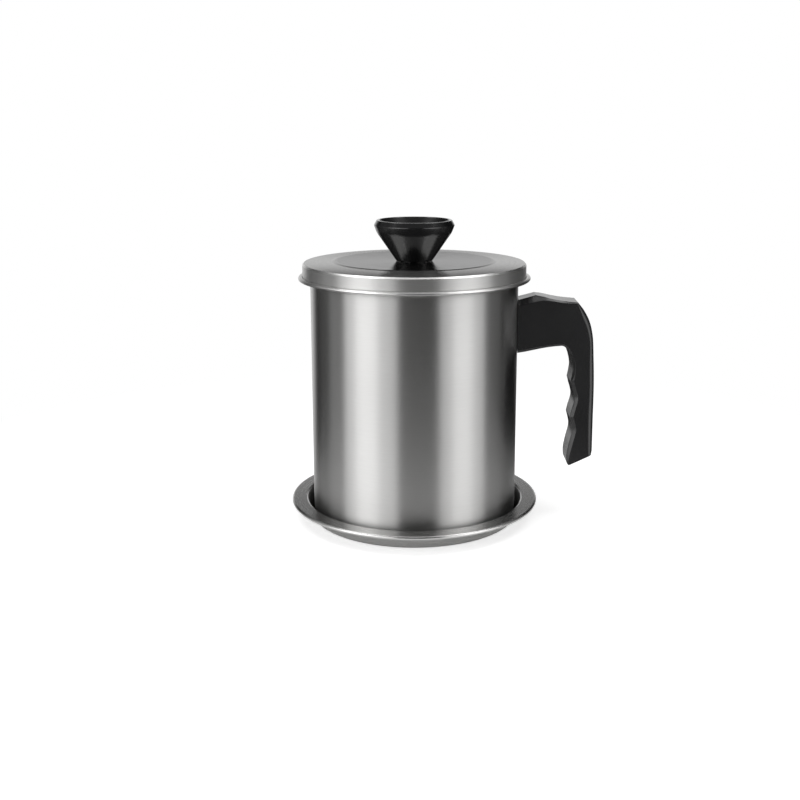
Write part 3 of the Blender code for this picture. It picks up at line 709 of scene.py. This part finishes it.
BACK_CORNERS = (0.16, 0.38, 0.97)
BACK_SHARES = (
    (0.00, 0.000, 0.0263, 0.158, 0.10), (0.16, 0.217, 0.000, 0.180, 0.10), (0.20, 0.314, 0.007, 0.105, 0.10),
    (0.24, 0.415, 0.018, 0.065, 0.15), (0.305, 0.572, 0.0305, 0.055, 0.20), (0.38, 0.755, 0.0385, 0.040, 0.50),
    (0.44, 0.849, 0.092, 0.110, 1.00), (0.49, 0.918, 0.151, 0.125, 1.00), (0.54, 0.959, 0.221, 0.120, 1.00),
    (0.63, 0.985, 0.370, 0.110, 1.00), (0.72, 0.998, 0.511, 0.105, 1.00), (0.86, 1.000, 0.742, 0.105, 1.00),
    (0.97, 1.000, 0.915, 0.090, 1.00), (1.00, 0.987, 0.938, 0.060, 1.00),
)
GRIP_CORNERS = (0.66, 0.82)
GRIP_SHARES = (
    (0.00, 0.000, 0.330, 0.080, 0.25), (0.36, 0.520, 0.290, 0.080, 0.25), (0.39, 0.565, 0.289, 0.080, 0.25),
    (0.42, 0.602, 0.296, 0.070, 0.25), (0.47, 0.660, 0.330, 0.090, 0.20), (0.54, 0.708, 0.404, 0.125, 0.14),
    (0.61, 0.704, 0.455, 0.130, 0.14), (0.66, 0.686, 0.500, 0.120, 0.14), (0.69, 0.703, 0.530, 0.120, 0.14),
    (0.745, 0.742, 0.605, 0.125, 0.14), (0.80, 0.702, 0.680, 0.125, 0.14), (0.82, 0.688, 0.710, 0.120, 0.14),
    (0.87, 0.724, 0.790, 0.125, 0.14), (0.92, 0.682, 0.880, 0.130, 0.14), (0.96, 0.661, 0.947, 0.100, 0.30),
    (0.985, 0.672, 0.990, 0.050, 0.60), (1.00, 0.692, 1.000, 0.040, 0.70),
)
GRIP_LEAN = 0.5
ROOT_RINGS = (0.0, 0.5, 0.9, 0.985)
TIP_RINGS = (0.995, 0.97, 0.93, 0.5, 0.0)
ROOT_BLEND = 4 * MM
HANDLE_STATIONS = 260
CORNER_POINTS = 6
FLAT_POINTS = 5
BRIDGE_HALF = 6.5 * MM
POCKET_STEP = 2.4 * MM
OVERRUN = 4 * MM
SCREW_WAY_BACK = 2 * MM
WASHER_PLAY = 0.5 * MM


def smooth_curve(knots, stations):
    """Cubic Hermite curve through knots at their stations, its slope at each knot the mean slope beside it."""
    at, values = knots[:, 0], knots[:, 1:]
    slopes = np.gradient(values, at, axis=0)
    place = np.clip(np.searchsorted(at, stations, side="right") - 1, 0, len(at) - 2)
    span = np.diff(at)[place][:, None]
    t = (stations - at[place])[:, None] / span
    return (
        (2 * t ** 3 - 3 * t ** 2 + 1) * values[place] + (t ** 3 - 2 * t ** 2 + t) * span * slopes[place]
        + (3 * t ** 2 - 2 * t ** 3) * values[place + 1] + (t ** 3 - t ** 2) * span * slopes[place + 1]
    )


def rail(shares, corners, stations):
    """One side of the handle at each station: smooth stretches that meet at crisp corners."""
    knots = np.array(shares)
    ends = [0, *np.searchsorted(knots[:, 0], corners), len(knots) - 1]
    rows = np.zeros((len(stations), knots.shape[1] - 1))
    for first, last in zip(ends, ends[1:]):
        inside = (stations >= knots[first, 0]) & (stations <= knots[last, 0])
        rows[inside] = smooth_curve(knots[first:last + 1], stations[inside])
    return rows


def cut_corner(edge, soft):
    """One corner of the section, from the middle face round to the side, as inset and distance short of the side.

    The corner is cut back at 45 degrees by its edge, and both bends of the cut are arcs of 45 degrees. Their radius
    is the soft share of the radius at which the arcs meet, which is the edge times one plus half the root of two.
    """
    radius = soft * edge * (1 + math.sqrt(0.5))
    leg = radius * math.tan(math.pi / 8)
    first = np.linspace(0, math.pi / 4, CORNER_POINTS)[None]
    last = first + math.pi / 4
    far = edge + leg + GUARD
    inset = np.concatenate([0 * edge, radius * (1 - np.cos(first)), edge + leg - radius * np.cos(last), far], 1)
    short = np.concatenate([far, edge + leg - radius * np.sin(first), radius * (1 - np.sin(last)), 0 * edge], 1)
    return inset, short


def half_section(back_edge, back_soft, grip_edge, grip_soft, depth, half):
    """Half of a section across the handle, from the middle of its back round one side to the middle of its grip.

    The grip's cut is only a share as wide as it is deep, so it faces the side more than the fingers.
    """
    back_in, back_short = cut_corner(back_edge, back_soft)
    grip_in, grip_short = cut_corner(grip_edge, grip_soft)
    grip_short = grip_short * GRIP_LEAN
    share = np.linspace(0, 1, FLAT_POINTS)[None]
    back_flat = share[:, :-1] * (half - back_short[:, :1])
    grip_flat = share[:, ::-1][:, 1:] * (half - grip_short[:, :1])
    start, end = back_in[:, -1:], depth - grip_in[:, -1:]
    between = start + share[:, 1:-1] * (end - start)
    across = np.concatenate([0 * back_flat, back_in, between, depth - grip_in[:, ::-1], depth + 0 * grip_flat], 1)
    side = np.concatenate(
        [back_flat, half - back_short, half + 0 * between, half - grip_short[:, ::-1], grip_flat], 1
    )
    return across, side


def handle_surface(name):
    """Handle as a row of sections, each laid from its back rail to its grip rail, with both ends closed.

    Over the first millimetres a section's points move back to follow the pot's round wall.
    """
    low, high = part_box("handle")
    pot_radius = bpy.context.scene.grease_container.sheet.pot_radius
    root = low.x + (pot_radius - math.sqrt(pot_radius ** 2 - high.y ** 2))
    reach, drop, half = high.x - root, high.z - low.z, high.y
    stations = np.unique(np.r_[np.linspace(0, 1, HANDLE_STATIONS), BACK_CORNERS, GRIP_CORNERS])
    back, grip = rail(BACK_SHARES, BACK_CORNERS, stations), rail(GRIP_SHARES, GRIP_CORNERS, stations)
    top, size = np.array([root, high.z]), np.array([reach, -drop])
    start, end = top + back[:, :2] * size, top + grip[:, :2] * size
    depth = np.linalg.norm(end - start, axis=1, keepdims=True)
    across, side = half_section(
        back[:, 2:3] * 2 * half, back[:, 3:4], grip[:, 2:3] * 2 * half, grip[:, 3:4], depth, half
    )
    across = np.concatenate([across, across[:, -2:0:-1]], 1)
    side = np.concatenate([side, -side[:, -2:0:-1]], 1)
    direction = (end - start) / depth
    x = start[:, :1] + direction[:, :1] * across
    z = start[:, 1:] + direction[:, 1:] * across
    fade = np.clip(1 - (x - root) / ROOT_BLEND, 0, 1)
    x = x - fade * (pot_radius - np.sqrt(pot_radius ** 2 - side ** 2))
    points = np.stack([x, side, z], -1)
    points = np.concatenate([shrunk(points[0], ROOT_RINGS), points, shrunk(points[-1], TIP_RINGS)])
    return surface(name, points, np.linspace(0, 1, len(points)))


def shrunk(ring, shares):
    """Rings that close an end: the end's ring drawn towards its middle, each to a share of its size."""
    middle = ring.mean(axis=0)
    return middle + (ring - middle)[None] * np.array(shares)[:, None, None]


def cut(item, *tools):
    """Take closed helper meshes away from a piece, and put the result in its mesh."""
    for tool in tools:
        step = item.modifiers.new(tool.name, "BOOLEAN")
        step.operation, step.solver, step.object = "DIFFERENCE", "EXACT", tool
    bpy.context.view_layer.update()
    done = bpy.data.meshes.new_from_object(item.evaluated_get(bpy.context.evaluated_depsgraph_get()))
    item.modifiers.clear()
    item.data = done
    done.shade_smooth()
    done.set_sharp_from_angle(angle=SHARP_ANGLE)
    for tool in tools:
        bpy.data.objects.remove(tool)
    return item


def pocket(name):
    """Cutter for the hollow in the handle's root: the bracket's outline grown by a gap, carried along Y."""
    low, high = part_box("handle_bracket")
    level = (low.z + high.z) / 2
    flange, bridge = (high.z - low.z) / 2 + GAP, BRIDGE_HALF + GAP
    mouth, shallow, deep = low.x - OVERRUN, low.x + POCKET_STEP, high.x + GAP
    outline = np.array([
        (mouth, -flange), (shallow, -flange), (shallow, -bridge), (deep, -bridge),
        (deep, bridge), (shallow, bridge), (shallow, flange), (mouth, flange),
    ])
    heart = np.array([(mouth + shallow) / 2, 0])
    side = high.y + GAP
    rings = np.stack([0 * outline + heart, outline, outline, 0 * outline + heart])
    across = np.array([-side, -side, side, side])[:, None] + 0 * rings[..., 0]
    return surface(name, np.stack([rings[..., 0], across, level + rings[..., 1]], -1), np.arange(4.0))


def sunk_hole(name):
    """Cutter for the screw's way through the arm, opened out to the washer's seat."""
    low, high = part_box("handle_washer")
    start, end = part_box("handle_bracket")[1].x - SCREW_WAY_BACK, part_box("handle")[1].x + OVERRUN
    seat, wide = low.x - GAP, high.y + WASHER_PLAY
    outline = np.array([(0, start), (SCREW_HOLE, start), (SCREW_HOLE, seat), (wide, seat), (wide, end), (0, end)])
    return lay_along_x(turned(name, outline, SMALL_AROUND), (low.z + high.z) / 2)


# Operators

TRAY_CORNER = 1.8 * MM
FLANGE_BEND = 1.0 * MM
FLARE_HEIGHT = 4.5 * MM
FLARE_BEND = 4 * MM
PANEL_BEND = 2 * MM
PANEL_FLAT = 1 * MM
PANEL_POINTS = 24
DOME_POINTS = 20
DOME_ENDS = (0.08, 0.95)
FACET_BEND = 0.3 * MM
BORE_EDGE = 0.2 * MM
BASE_EDGE = 0.4 * MM
CONE_BEND = 8 * MM
RIM_BEND = 0.6 * MM
DISH_BEND = 6 * MM
DISH_INSET = 0.3 * MM
DISH_PLAY = 0.1 * MM
CUP_PLAY = 0.5 * MM
CUP_TAPER = 6 * MM
CUP_CORNER = 2.5 * MM
CUP_BEND = 6 * MM
NET_SEAT = 6.5 * MM
RING_EDGE = 0.4 * MM

# First and last angle of each curl, in degrees
TRAY_CURL = (90, -200)
POT_CURL = (180, -115)
LID_CURL = (180, 478)
SADDLE = (180, 90)
HEM = (-90, 222)

# How far some faces lie from an edge, as shares of the sheet, the curl or the corner. These values choose the faces
# that get painted shade in the tray's well, and painted highlights on the tray's curl and on the lid's corner and
# bead.
WELL_SIDE, WELL_FLOOR = 0.4, 0.5
CURL_REACH = 1.1
CORNER_REACH = 1.2


class CONTAINER_OT_tray(bpy.types.Operator):
    """Make the drip tray"""

    bl_idname = "container.tray"
    bl_label = "Drip tray"

    def execute(self, context):
        """Pressed saucer: base, leaning wall, flat flange and an edge curled under."""
        settings = context.scene.grease_container
        sizes = settings.sheet
        low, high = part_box("drip_tray")
        thickness, curl = sizes.thickness, sizes.tray_curl
        radius = radius_of("drip_tray")
        mouth = radius - sizes.tray_flange
        face = path(
            bend_path([
                (0, low.z, 0), (mouth - sizes.tray_taper, low.z, TRAY_CORNER),
                (mouth, high.z - thickness, FLANGE_BEND), (radius - curl, high.z - thickness, 0),
            ]),
            arc((radius - curl, high.z - curl), curl - thickness, *TRAY_CURL),
        )
        item = turned("fine_tray", sheet(face, thickness))
        finish, grain = settings.finish, settings.finish.grain
        flange = brushed("tray_steel", shaded(finish.steel, 0.97), grain * 0.4, roughness=0.26, anisotropic=0.65)
        # The faces inside the tray's well get a dark copy of the steel as painted shade.
        well_shade = brushed("tray_well_steel", finish.well_shade, grain, roughness=0.45, anisotropic=0.6)
        # The curl gets a lighter copy of the steel as a painted highlight, with a smoother finish as well.
        edge = brushed("tray_edge_steel", shaded(finish.steel, 1.1), grain=0, roughness=0.24, anisotropic=0.2)
        settle(item, "tray", "tray_steel", flange, "drip_tray")
        across, up = places(item)
        leaning = mouth - sizes.tray_taper * (1 - up / (high.z - thickness))
        shaded_well_faces = (across < leaning - WELL_SIDE * thickness) & (up > WELL_FLOOR * thickness)
        other_finish(item, well_shade, shaded_well_faces)
        other_finish(item, edge, across > radius - CURL_REACH * curl)
        return {"FINISHED"}


class CONTAINER_OT_pot(bpy.types.Operator):
    """Make the pot"""

    bl_idname = "container.pot"
    bl_label = "Pot"

    def execute(self, context):
        """Drawn shell: base, straight wall, a small flare and a rim curled outwards."""
        settings = context.scene.grease_container
        sizes = settings.sheet
        low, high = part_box("pot_shell")
        thickness, curl = sizes.thickness, sizes.curl
        centre = (radius_of("pot_shell") - curl, high.z - curl)
        flare = centre[0] - curl + thickness
        flare_top = centre[1] - curl
        face = path(
            bend_path([
                (0, low.z, 0), (sizes.pot_radius, low.z, sizes.pot_corner),
                (sizes.pot_radius, flare_top - FLARE_HEIGHT, FLARE_BEND), (flare, flare_top, FLARE_BEND),
                (flare, centre[1], 0),
            ]),
            arc(centre, curl - thickness, *POT_CURL),
        )
        item = turned("fine_pot", sheet(face, thickness))
        finish = settings.finish
        wall = brushed("pot_steel", finish.steel, finish.grain, roughness=0.40, anisotropic=0.97)
        settle(item, "pot", "pot_steel", wall, "pot_shell")
        return {"FINISHED"}


class CONTAINER_OT_lid(bpy.types.Operator):
    """Make the lid"""

    bl_idname = "container.lid"
    bl_label = "Lid"

    def execute(self, context):
        """Dished panel a step above a brushed ring, and a skirt with its edge curled outwards.

        The panel's height is its rim's, less the dish times one minus the squared share of its radius. The ring's
        falls from its inner edge by its rise times the squared share of the way out.
        """
        settings = context.scene.grease_container
        sizes = settings.sheet
        low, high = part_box("lid_shell")
        thickness, curl = sizes.thickness, sizes.curl
        centre = (radius_of("lid_shell") - curl, low.z + sizes.bead_height / 2)
        skirt = centre[0] - curl + thickness
        flat = (sizes.bead_height / 2 - thickness) / (curl - thickness)
        ring_top = high.z - sizes.panel_step
        edge = ring_top - sizes.ring_rise
        slope = sizes.panel_radius + sizes.panel_slope
        shares = np.linspace(*DOME_ENDS, DOME_POINTS)
        dome = np.stack([slope + (skirt - slope) * shares, ring_top - sizes.ring_rise * shares ** 2], 1)
        radii = np.linspace(SCREW_HOLE, sizes.panel_radius - PANEL_FLAT, PANEL_POINTS)
        panel = np.stack([radii, high.z - sizes.panel_dish * (1 - (radii / sizes.panel_radius) ** 2)], 1)
        face = path(
            panel,
            bend_path([
                tuple(panel[-1]), (sizes.panel_radius, high.z, PANEL_BEND), (slope, ring_top, PANEL_BEND),
                tuple(dome[0]),
            ]),
            dome,
            bend_path([
                tuple(dome[-1]), (skirt - sizes.lid_corner, edge, FACET_BEND),
                (skirt, edge - sizes.lid_corner, FACET_BEND), (skirt, centre[1], 0),
            ]),
            arc(centre, curl - thickness, *LID_CURL, flat),
        )
        item = turned("fine_lid", sheet(face, -thickness)[::-1], wrap_rows=True)
        finish = settings.finish
        steel, grain = finish.lid, finish.grain
        # Copies of one steel at different tones stand in for light and shade. The ring is painted lighter as a
        # painted highlight, and the skirt a little darker as painted shade. The corner and bead are lighter as
        # painted highlights, on a smoother finish. The panel is darker as painted shade on its reflections.
        top = lid_top("lid_steel", finish.panel, shaded(steel, 1.45), grain, sizes.panel_radius, slope)
        satin = brushed(
            "lid_skirt_steel", shaded(steel, 0.92), grain * 1.5, roughness=0.43, anisotropic=0.90, metallic=0.90
        )
        painted_highlight_edge = brushed("lid_edge_steel", shaded(steel, 1.25), grain=0, roughness=0.32, anisotropic=0.2)
        settle(item, "lid", "lid_steel", top, "lid_shell")
        across, up = places(item)
        level = (up > centre[1] + sizes.bead_height / 2) & (up < edge - sizes.lid_corner)
        on_skirt = level & (across > skirt - thickness / 2)
        other_finish(item, satin, on_skirt)
        other_finish(item, painted_highlight_edge, (across > skirt - CORNER_REACH * sizes.lid_corner) & ~on_skirt)
        return {"FINISHED"}


class CONTAINER_OT_knob(bpy.types.Operator):
    """Make the knob"""

    bl_idname = "container.knob"
    bl_label = "Knob"

    def execute(self, context):
        """Straight flare from a narrow base, a band that leans in to the rim, a dish inside and a bore below."""
        settings = context.scene.grease_container
        sizes = settings.knob
        low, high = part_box("knob")
        radius = radius_of("knob")
        bore, bore_top = radius_of("knob_insert") + GAP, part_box("knob_insert")[1].z + GAP
        dish = high.z - sizes.dish_depth
        rim = radius - sizes.lean
        lip = rim - sizes.rim
        outline = bend_path([
            (0, bore_top, 0), (bore, bore_top, 0), (bore, low.z, BORE_EDGE),
            (sizes.base_radius, low.z, BASE_EDGE), (radius - sizes.cone_step, high.z - sizes.cone_drop, CONE_BEND),
            (radius, high.z - sizes.band, RIM_BEND), (rim, high.z, RIM_BEND), (lip, high.z, RIM_BEND),
            (sizes.dish_radius, dish, DISH_BEND), (0, dish, 0),
        ])
        item = turned("fine_knob", path(outline), KNOB_AROUND)
        colour = settings.finish.knob
        gloss = moulded("knob_plastic", colour, roughness=0.18, texture=0.04, scale=2600, shine=0.6, coat=0.2)
        dull = moulded("knob_dish_plastic", colour, roughness=0.34, texture=0.04, scale=2600, shine=0.18)
        settle(item, "lid", "knob_plastic", gloss, "knob")
        across, up = places(item)
        other_finish(item, dull, (across < lip - DISH_INSET) & (up > dish - DISH_PLAY))
        return {"FINISHED"}


class CONTAINER_OT_handle(bpy.types.Operator):
    """Make the handle"""

    bl_idname = "container.handle"
    bl_label = "Handle"

    def execute(self, context):
        """Moulded handle with a pocket for its bracket and a sunk hole for its screw."""
        colour = context.scene.grease_container.finish.handle
        item = cut(handle_surface("fine_handle"), pocket("pocket"), sunk_hole("sunk_hole"))
        satin = moulded("handle_plastic", colour, roughness=0.20, texture=0.03, scale=1800, shine=0.55)
        settle(item, "pot", "handle_plastic", satin, "handle")
        return {"FINISHED"}


class CONTAINER_OT_strainer(bpy.types.Operator):
    """Make the strainer's cup, mesh and ring"""

    bl_idname = "container.strainer"
    bl_label = "Strainer"

    def execute(self, context):
        """Tapered cup with a hem that hangs on the pot's rim, a woven mesh and the ring that holds it."""
        settings = context.scene.grease_container
        sizes = settings.strainer
        low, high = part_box("strainer_cup")
        pot_curl = settings.sheet.curl
        roll = (radius_of("pot_shell") - pot_curl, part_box("pot_shell")[1].z - pot_curl)
        saddle = high.z - 2 * sizes.hem - roll[1]
        mouth = roll[0] - saddle
        flare_top = roll[1] - pot_curl
        wall = settings.sheet.pot_radius - settings.sheet.thickness - CUP_PLAY
        base = wall - CUP_TAPER
        hole = base - NET_SEAT
        face = path(
            bend_path([
                (hole, low.z, 0), (base, low.z, CUP_CORNER), (wall, flare_top - FLARE_HEIGHT, CUP_BEND),
                (mouth, flare_top, CUP_BEND), (mouth, roll[1], 0),
            ]),
            arc(roll, saddle, *SADDLE),
            arc((roll[0], high.z - sizes.hem), sizes.hem, *HEM),
        )
        item = turned("fine_strainer_cup", sheet(face, sizes.thickness), wrap_rows=True)
        colour = settings.finish.lid
        satin = brushed("strainer_steel", colour, settings.finish.grain, roughness=0.34, anisotropic=0.7)
        settle(item, "strainer", "strainer_steel", satin, "strainer_cup")
        net_low, net_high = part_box("strainer_mesh")
        net = woven("fine_strainer_mesh", net_high.y, (net_low.z + net_high.z) / 2, sizes.wire, sizes.pitch)
        settle(net, "strainer", "strainer_steel", plain_steel("wire_steel", colour, 0.28), "strainer_mesh")
        ring_low, ring_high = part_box("strainer_ring")
        ring = flat_ring("fine_strainer_ring", hole, ring_high.y, ring_low.z, ring_high.z, RING_EDGE)
        settle(ring, "strainer", "strainer_steel", satin, "strainer_ring")
        return {"FINISHED"}


class CONTAINER_OT_fasteners(bpy.types.Operator):
    """Make the screws and washers, and finish the bracket, nut and insert"""

    bl_idname = "container.fasteners"
    bl_label = "Fasteners"

    def execute(self, context):
        """Cross-headed screws, washers with rounded edges, a plain bracket and nut, and a brass insert."""
        finish = context.scene.grease_container.finish
        plated = plain_steel("plated_steel", finish.plated, 0.22, 1500)
        low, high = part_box("knob_screw")
        washer_low, washer_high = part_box("knob_washer")
        item = screw("fine_knob_screw", high.y, high.z, washer_low.z - GAP, low.z)
        settle(item, "lid", "fastener_steel", plated, "knob_screw")
        item = flat_ring("fine_knob_washer", SCREW_HOLE, washer_high.y, washer_low.z, washer_high.z, WASHER_EDGE)
        settle(item, "lid", "fastener_steel", plated, "knob_washer")
        low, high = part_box("handle_screw")
        washer_low, washer_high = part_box("handle_washer")
        level = (low.z + high.z) / 2
        item = screw("fine_handle_screw", high.y, low.x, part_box("handle_lock_washer")[1].x + GAP, high.x)
        settle(lay_along_x(item, level), "pot", "fastener_steel", plated, "handle_screw")
        item = flat_ring("fine_handle_washer", SCREW_HOLE, washer_high.y, washer_low.x, washer_high.x, WASHER_EDGE)
        settle(lay_along_x(item, level), "pot", "fastener_steel", plated, "handle_washer")
        dress("handle_lock_washer", plain_steel("spring_steel", finish.plated, 0.30, 1500))
        dress("bracket_nut", plated)
        dress("handle_bracket", plain_steel("bracket_steel", finish.lid, 0.36))
        dress("knob_insert", plain_steel("insert_brass", finish.brass, 0.30, 1500))
        return {"FINISHED"}


class CONTAINER_OT_studio(bpy.types.Operator):
    """Make the camera, lamps, floor and surroundings"""

    bl_idname = "container.studio"
    bl_label = "Studio"

    def execute(self, context):
        """The photograph's point of view, tall lamps at both sides, small ones above and a pale floor."""
        studio = context.scene.grease_container.studio
        context.scene.view_settings.view_transform = "Standard"
        camera()
        floor(studio)
        surroundings(studio)
        lamps(studio)
        return {"FINISHED"}


# Studio

CAMERA_PLACE = (0, -0.668, 0.243)
CAMERA_PITCH = math.radians(12.2)
CAMERA_LENS = 50.27
CAMERA_SHIFT = (-0.0179, -0.053)
FLOOR_AROUND = 96
FLOOR_RINGS = (0.6, 0.2, 0)
FLOOR_PAINT = (0.86, 0.86, 0.86, 1)
FLOOR_LIFT = 0.52
WHITE_FADE = (0.13, 0.40)
TABLE_FADE = (-0.08, 0.02)
MATT_LIGHT = 0.42
FRONT_GLOW = 0.26

# Where the surroundings change, as parts of a direction's X, Y or Z
BACKDROP_LEAN = -0.10
BACKDROP_SIDES = (0.80, 0.96)
BACKDROP_FOOT = (-0.12, -0.05)
BACKDROP_TOP = (0.22, 0.34)
LEFT_WALL = (-0.28, -0.20)
CEILING_EDGE = (0.48, 0.62)
GLOW_SIDES = (-0.97, -0.90)
GLOW_TOP = (-0.20, -0.06)

# Name, azimuth in degrees, width and radiance
TALL_LAMPS = (
    ("left_lamp", -52, 0.44, 0.84),
    ("left_wide_lamp", -48.5, 1.15, 1.20),
    ("left_soft_lamp", -62, 1.71, 0.27),
    ("far_left_lamp", -108, 0.62, 0.10),
    ("right_lamp", 53, 0.40, 0.68),
    ("right_wide_lamp", 53.8, 0.95, 1.05),
    ("right_soft_lamp", 66, 1.71, 0.19),
)

# Name, azimuth and elevation in degrees, size and radiance
TOP_LAMPS = (
    ("left_top_lamp", -92, 60, (0.42, 0.36), 3.0),
    ("right_top_lamp", 90, 61, (0.42, 0.36), 3.0),
    ("top_strip", 0, 80.5, (0.9, 0.14), 1.7),
)


def camera():
    """The photograph's point of view."""
    data = bpy.data.cameras.new("camera")
    data.lens = CAMERA_LENS
    data.shift_x, data.shift_y = CAMERA_SHIFT
    item = bpy.data.objects.new("camera", data)
    item.location = CAMERA_PLACE
    item.rotation_euler = (math.pi / 2 - CAMERA_PITCH, 0, 0)
    bpy.context.scene.collection.objects.link(item)
    bpy.context.scene.camera = item


def floor(studio):
    """A wide pale disc, plain white to the camera further out.

    Reflections see only the table, which is the disc's middle and fades at its edge.
    """
    radii = np.array([studio.floor_radius, *FLOOR_RINGS])[:, None]
    item = surface("floor", spun(radii, 0 * radii, steps_round(FLOOR_AROUND)), radii[:, 0])
    nodes = Nodes(named("floor_paint"))
    away = nodes.length(nodes.place())
    rays = nodes.add("LightPath").outputs
    lift = nodes.add("Emission", Strength=nodes.maths("MULTIPLY", rays["Is Camera Ray"], FLOOR_LIFT)).outputs[0]
    paint = nodes.add("AddShader", s0=nodes.add("BsdfDiffuse", Color=FLOOR_PAINT).outputs[0], s1=lift).outputs[0]
    white = nodes.add("Emission", Strength=1.0).outputs[0]
    far = nodes.maths("MULTIPLY", nodes.spread(away, 0, 1, *WHITE_FADE), rays["Is Camera Ray"])
    shown = nodes.add("MixShader", s0=far, s1=paint, s2=white).outputs[0]
    past_table = nodes.spread(away, 0, 1, *(studio.table_radius + fade for fade in TABLE_FADE))
    unseen = nodes.maths("MAXIMUM", rays["Is Glossy Ray"], rays["Is Shadow Ray"])
    gone = nodes.maths("MULTIPLY", past_table, unseen)
    clear = nodes.add("BsdfTransparent").outputs[0]
    item.data.materials.append(nodes.finish(nodes.add("MixShader", s0=gone, s1=shown, s2=clear)))


def surroundings(studio):
    """White to the camera, an even soft light to matt surfaces, and a room of its own to all that shines.

    The room is dark, with a white backdrop behind, a dim ceiling and a faint glow low in front.
    """
    world = bpy.context.scene.world or bpy.data.worlds.new("studio")
    bpy.context.scene.world = world
    world.cycles.sampling_method = "NONE"
    nodes = Nodes(world)
    rays = nodes.add("LightPath").outputs
    x, y, z = nodes.add("SeparateXYZ", Vector=nodes.add("TexCoord").outputs["Generated"]).outputs
    behind = nodes.maths("ADD", y, nodes.maths("MULTIPLY", x, BACKDROP_LEAN))
    behind = nodes.spread(behind, 0, 1, *BACKDROP_SIDES)
    foot = nodes.maths("MAXIMUM", nodes.spread(z, 0, 1, *BACKDROP_FOOT), nodes.spread(x, 1, 0, *LEFT_WALL))
    wall = nodes.maths("MULTIPLY", foot, nodes.spread(z, studio.backdrop, 0, *BACKDROP_TOP))
    level = nodes.spread(nodes.maths("MULTIPLY", behind, wall), studio.room, 1.0, 0, 1)
    ceiling = nodes.spread(z, studio.room, studio.ceiling, *CEILING_EDGE)
    glow = nodes.maths("MULTIPLY", nodes.spread(y, 1, 0, *GLOW_SIDES), nodes.spread(z, FRONT_GLOW, 0, *GLOW_TOP))
    level = nodes.maths("MAXIMUM", level, ceiling, glow)
    plain = nodes.maths("MAXIMUM", rays["Is Camera Ray"], rays["Is Transmission Ray"])
    strength = nodes.blend(plain, nodes.blend(rays["Is Glossy Ray"], MATT_LIGHT, level), 1.0)
    nodes.finish(nodes.add("Background", Color=(1, 1, 1, 1), Strength=strength))


def lamp(name, azimuth, elevation, size, distance, radiance):
    """A soft box that faces the container from an azimuth, to the right of the camera, and an elevation."""
    data = bpy.data.lights.new(name, "AREA")
    data.shape = "RECTANGLE"
    data.size, data.size_y = size
    data.energy = radiance * math.pi * size[0] * size[1]
    item = bpy.data.objects.new(name, data)
    turn, tilt = math.radians(azimuth), math.radians(elevation)
    flat = distance * math.cos(tilt)
    middle = (CAD_LOW[2] + CAD_HIGH[2]) / 2
    item.location = (flat * math.sin(turn), -flat * math.cos(turn), middle + distance * math.sin(tilt))
    item.rotation_euler = (math.pi / 2 - tilt, 0, turn)
    item.visible_camera = False
    bpy.context.scene.collection.objects.link(item)
    return item


def lamps(studio):
    """Tall soft boxes round the container that reach down past the table's edge, and small ones above."""
    for name, azimuth, width, radiance in TALL_LAMPS:
        item = lamp(name, azimuth, 0, (width, studio.lamp_height), studio.lamp_distance, radiance)
        item.location.z = studio.lamp_height / 2 - studio.lamp_drop
    for name, azimuth, elevation, size, radiance in TOP_LAMPS:
        lamp(name, azimuth, elevation, size, studio.lamp_distance, radiance)


# Panel and registration

class CONTAINER_PT_panel(bpy.types.Panel):
    """Buttons and settings in the sidebar"""

    bl_idname = "CONTAINER_PT_panel"
    bl_label = "Grease Container"
    bl_space_type = "VIEW_3D"
    bl_region_type = "UI"
    bl_category = "Container"

    def draw(self, context):
        """One button for each operator, then each group of settings."""
        for operator in OPERATORS:
            self.layout.operator(operator.bl_idname)
        settings = context.scene.grease_container
        for group in ("sheet", "knob", "strainer", "finish", "studio"):
            box = self.layout.box()
            box.label(text=group.capitalize())
            for name in getattr(settings, group).__annotations__:
                box.prop(getattr(settings, group), name)


OPERATORS = (
    CONTAINER_OT_tray,
    CONTAINER_OT_pot,
    CONTAINER_OT_lid,
    CONTAINER_OT_knob,
    CONTAINER_OT_handle,
    CONTAINER_OT_strainer,
    CONTAINER_OT_fasteners,
    CONTAINER_OT_studio,
)
CLASSES = (
    ContainerSheet, ContainerKnob, ContainerStrainer, ContainerFinish, ContainerStudio, ContainerSettings,
    *OPERATORS, CONTAINER_PT_panel,
)


def register():
    """Register the classes and keep the settings on the scene."""
    for kind in CLASSES:
        bpy.utils.register_class(kind)
    bpy.types.Scene.grease_container = bpy.props.PointerProperty(type=ContainerSettings)


def unregister():
    """Take the settings and classes away again."""
    del bpy.types.Scene.grease_container
    for kind in reversed(CLASSES):
        bpy.utils.unregister_class(kind)


def main():
    """Make every piece."""
    register()
    for make in (
        bpy.ops.container.tray, bpy.ops.container.pot, bpy.ops.container.lid, bpy.ops.container.knob,
        bpy.ops.container.handle, bpy.ops.container.strainer, bpy.ops.container.fasteners, bpy.ops.container.studio,
    ):
        make()


if __name__ == "__main__":
    main()
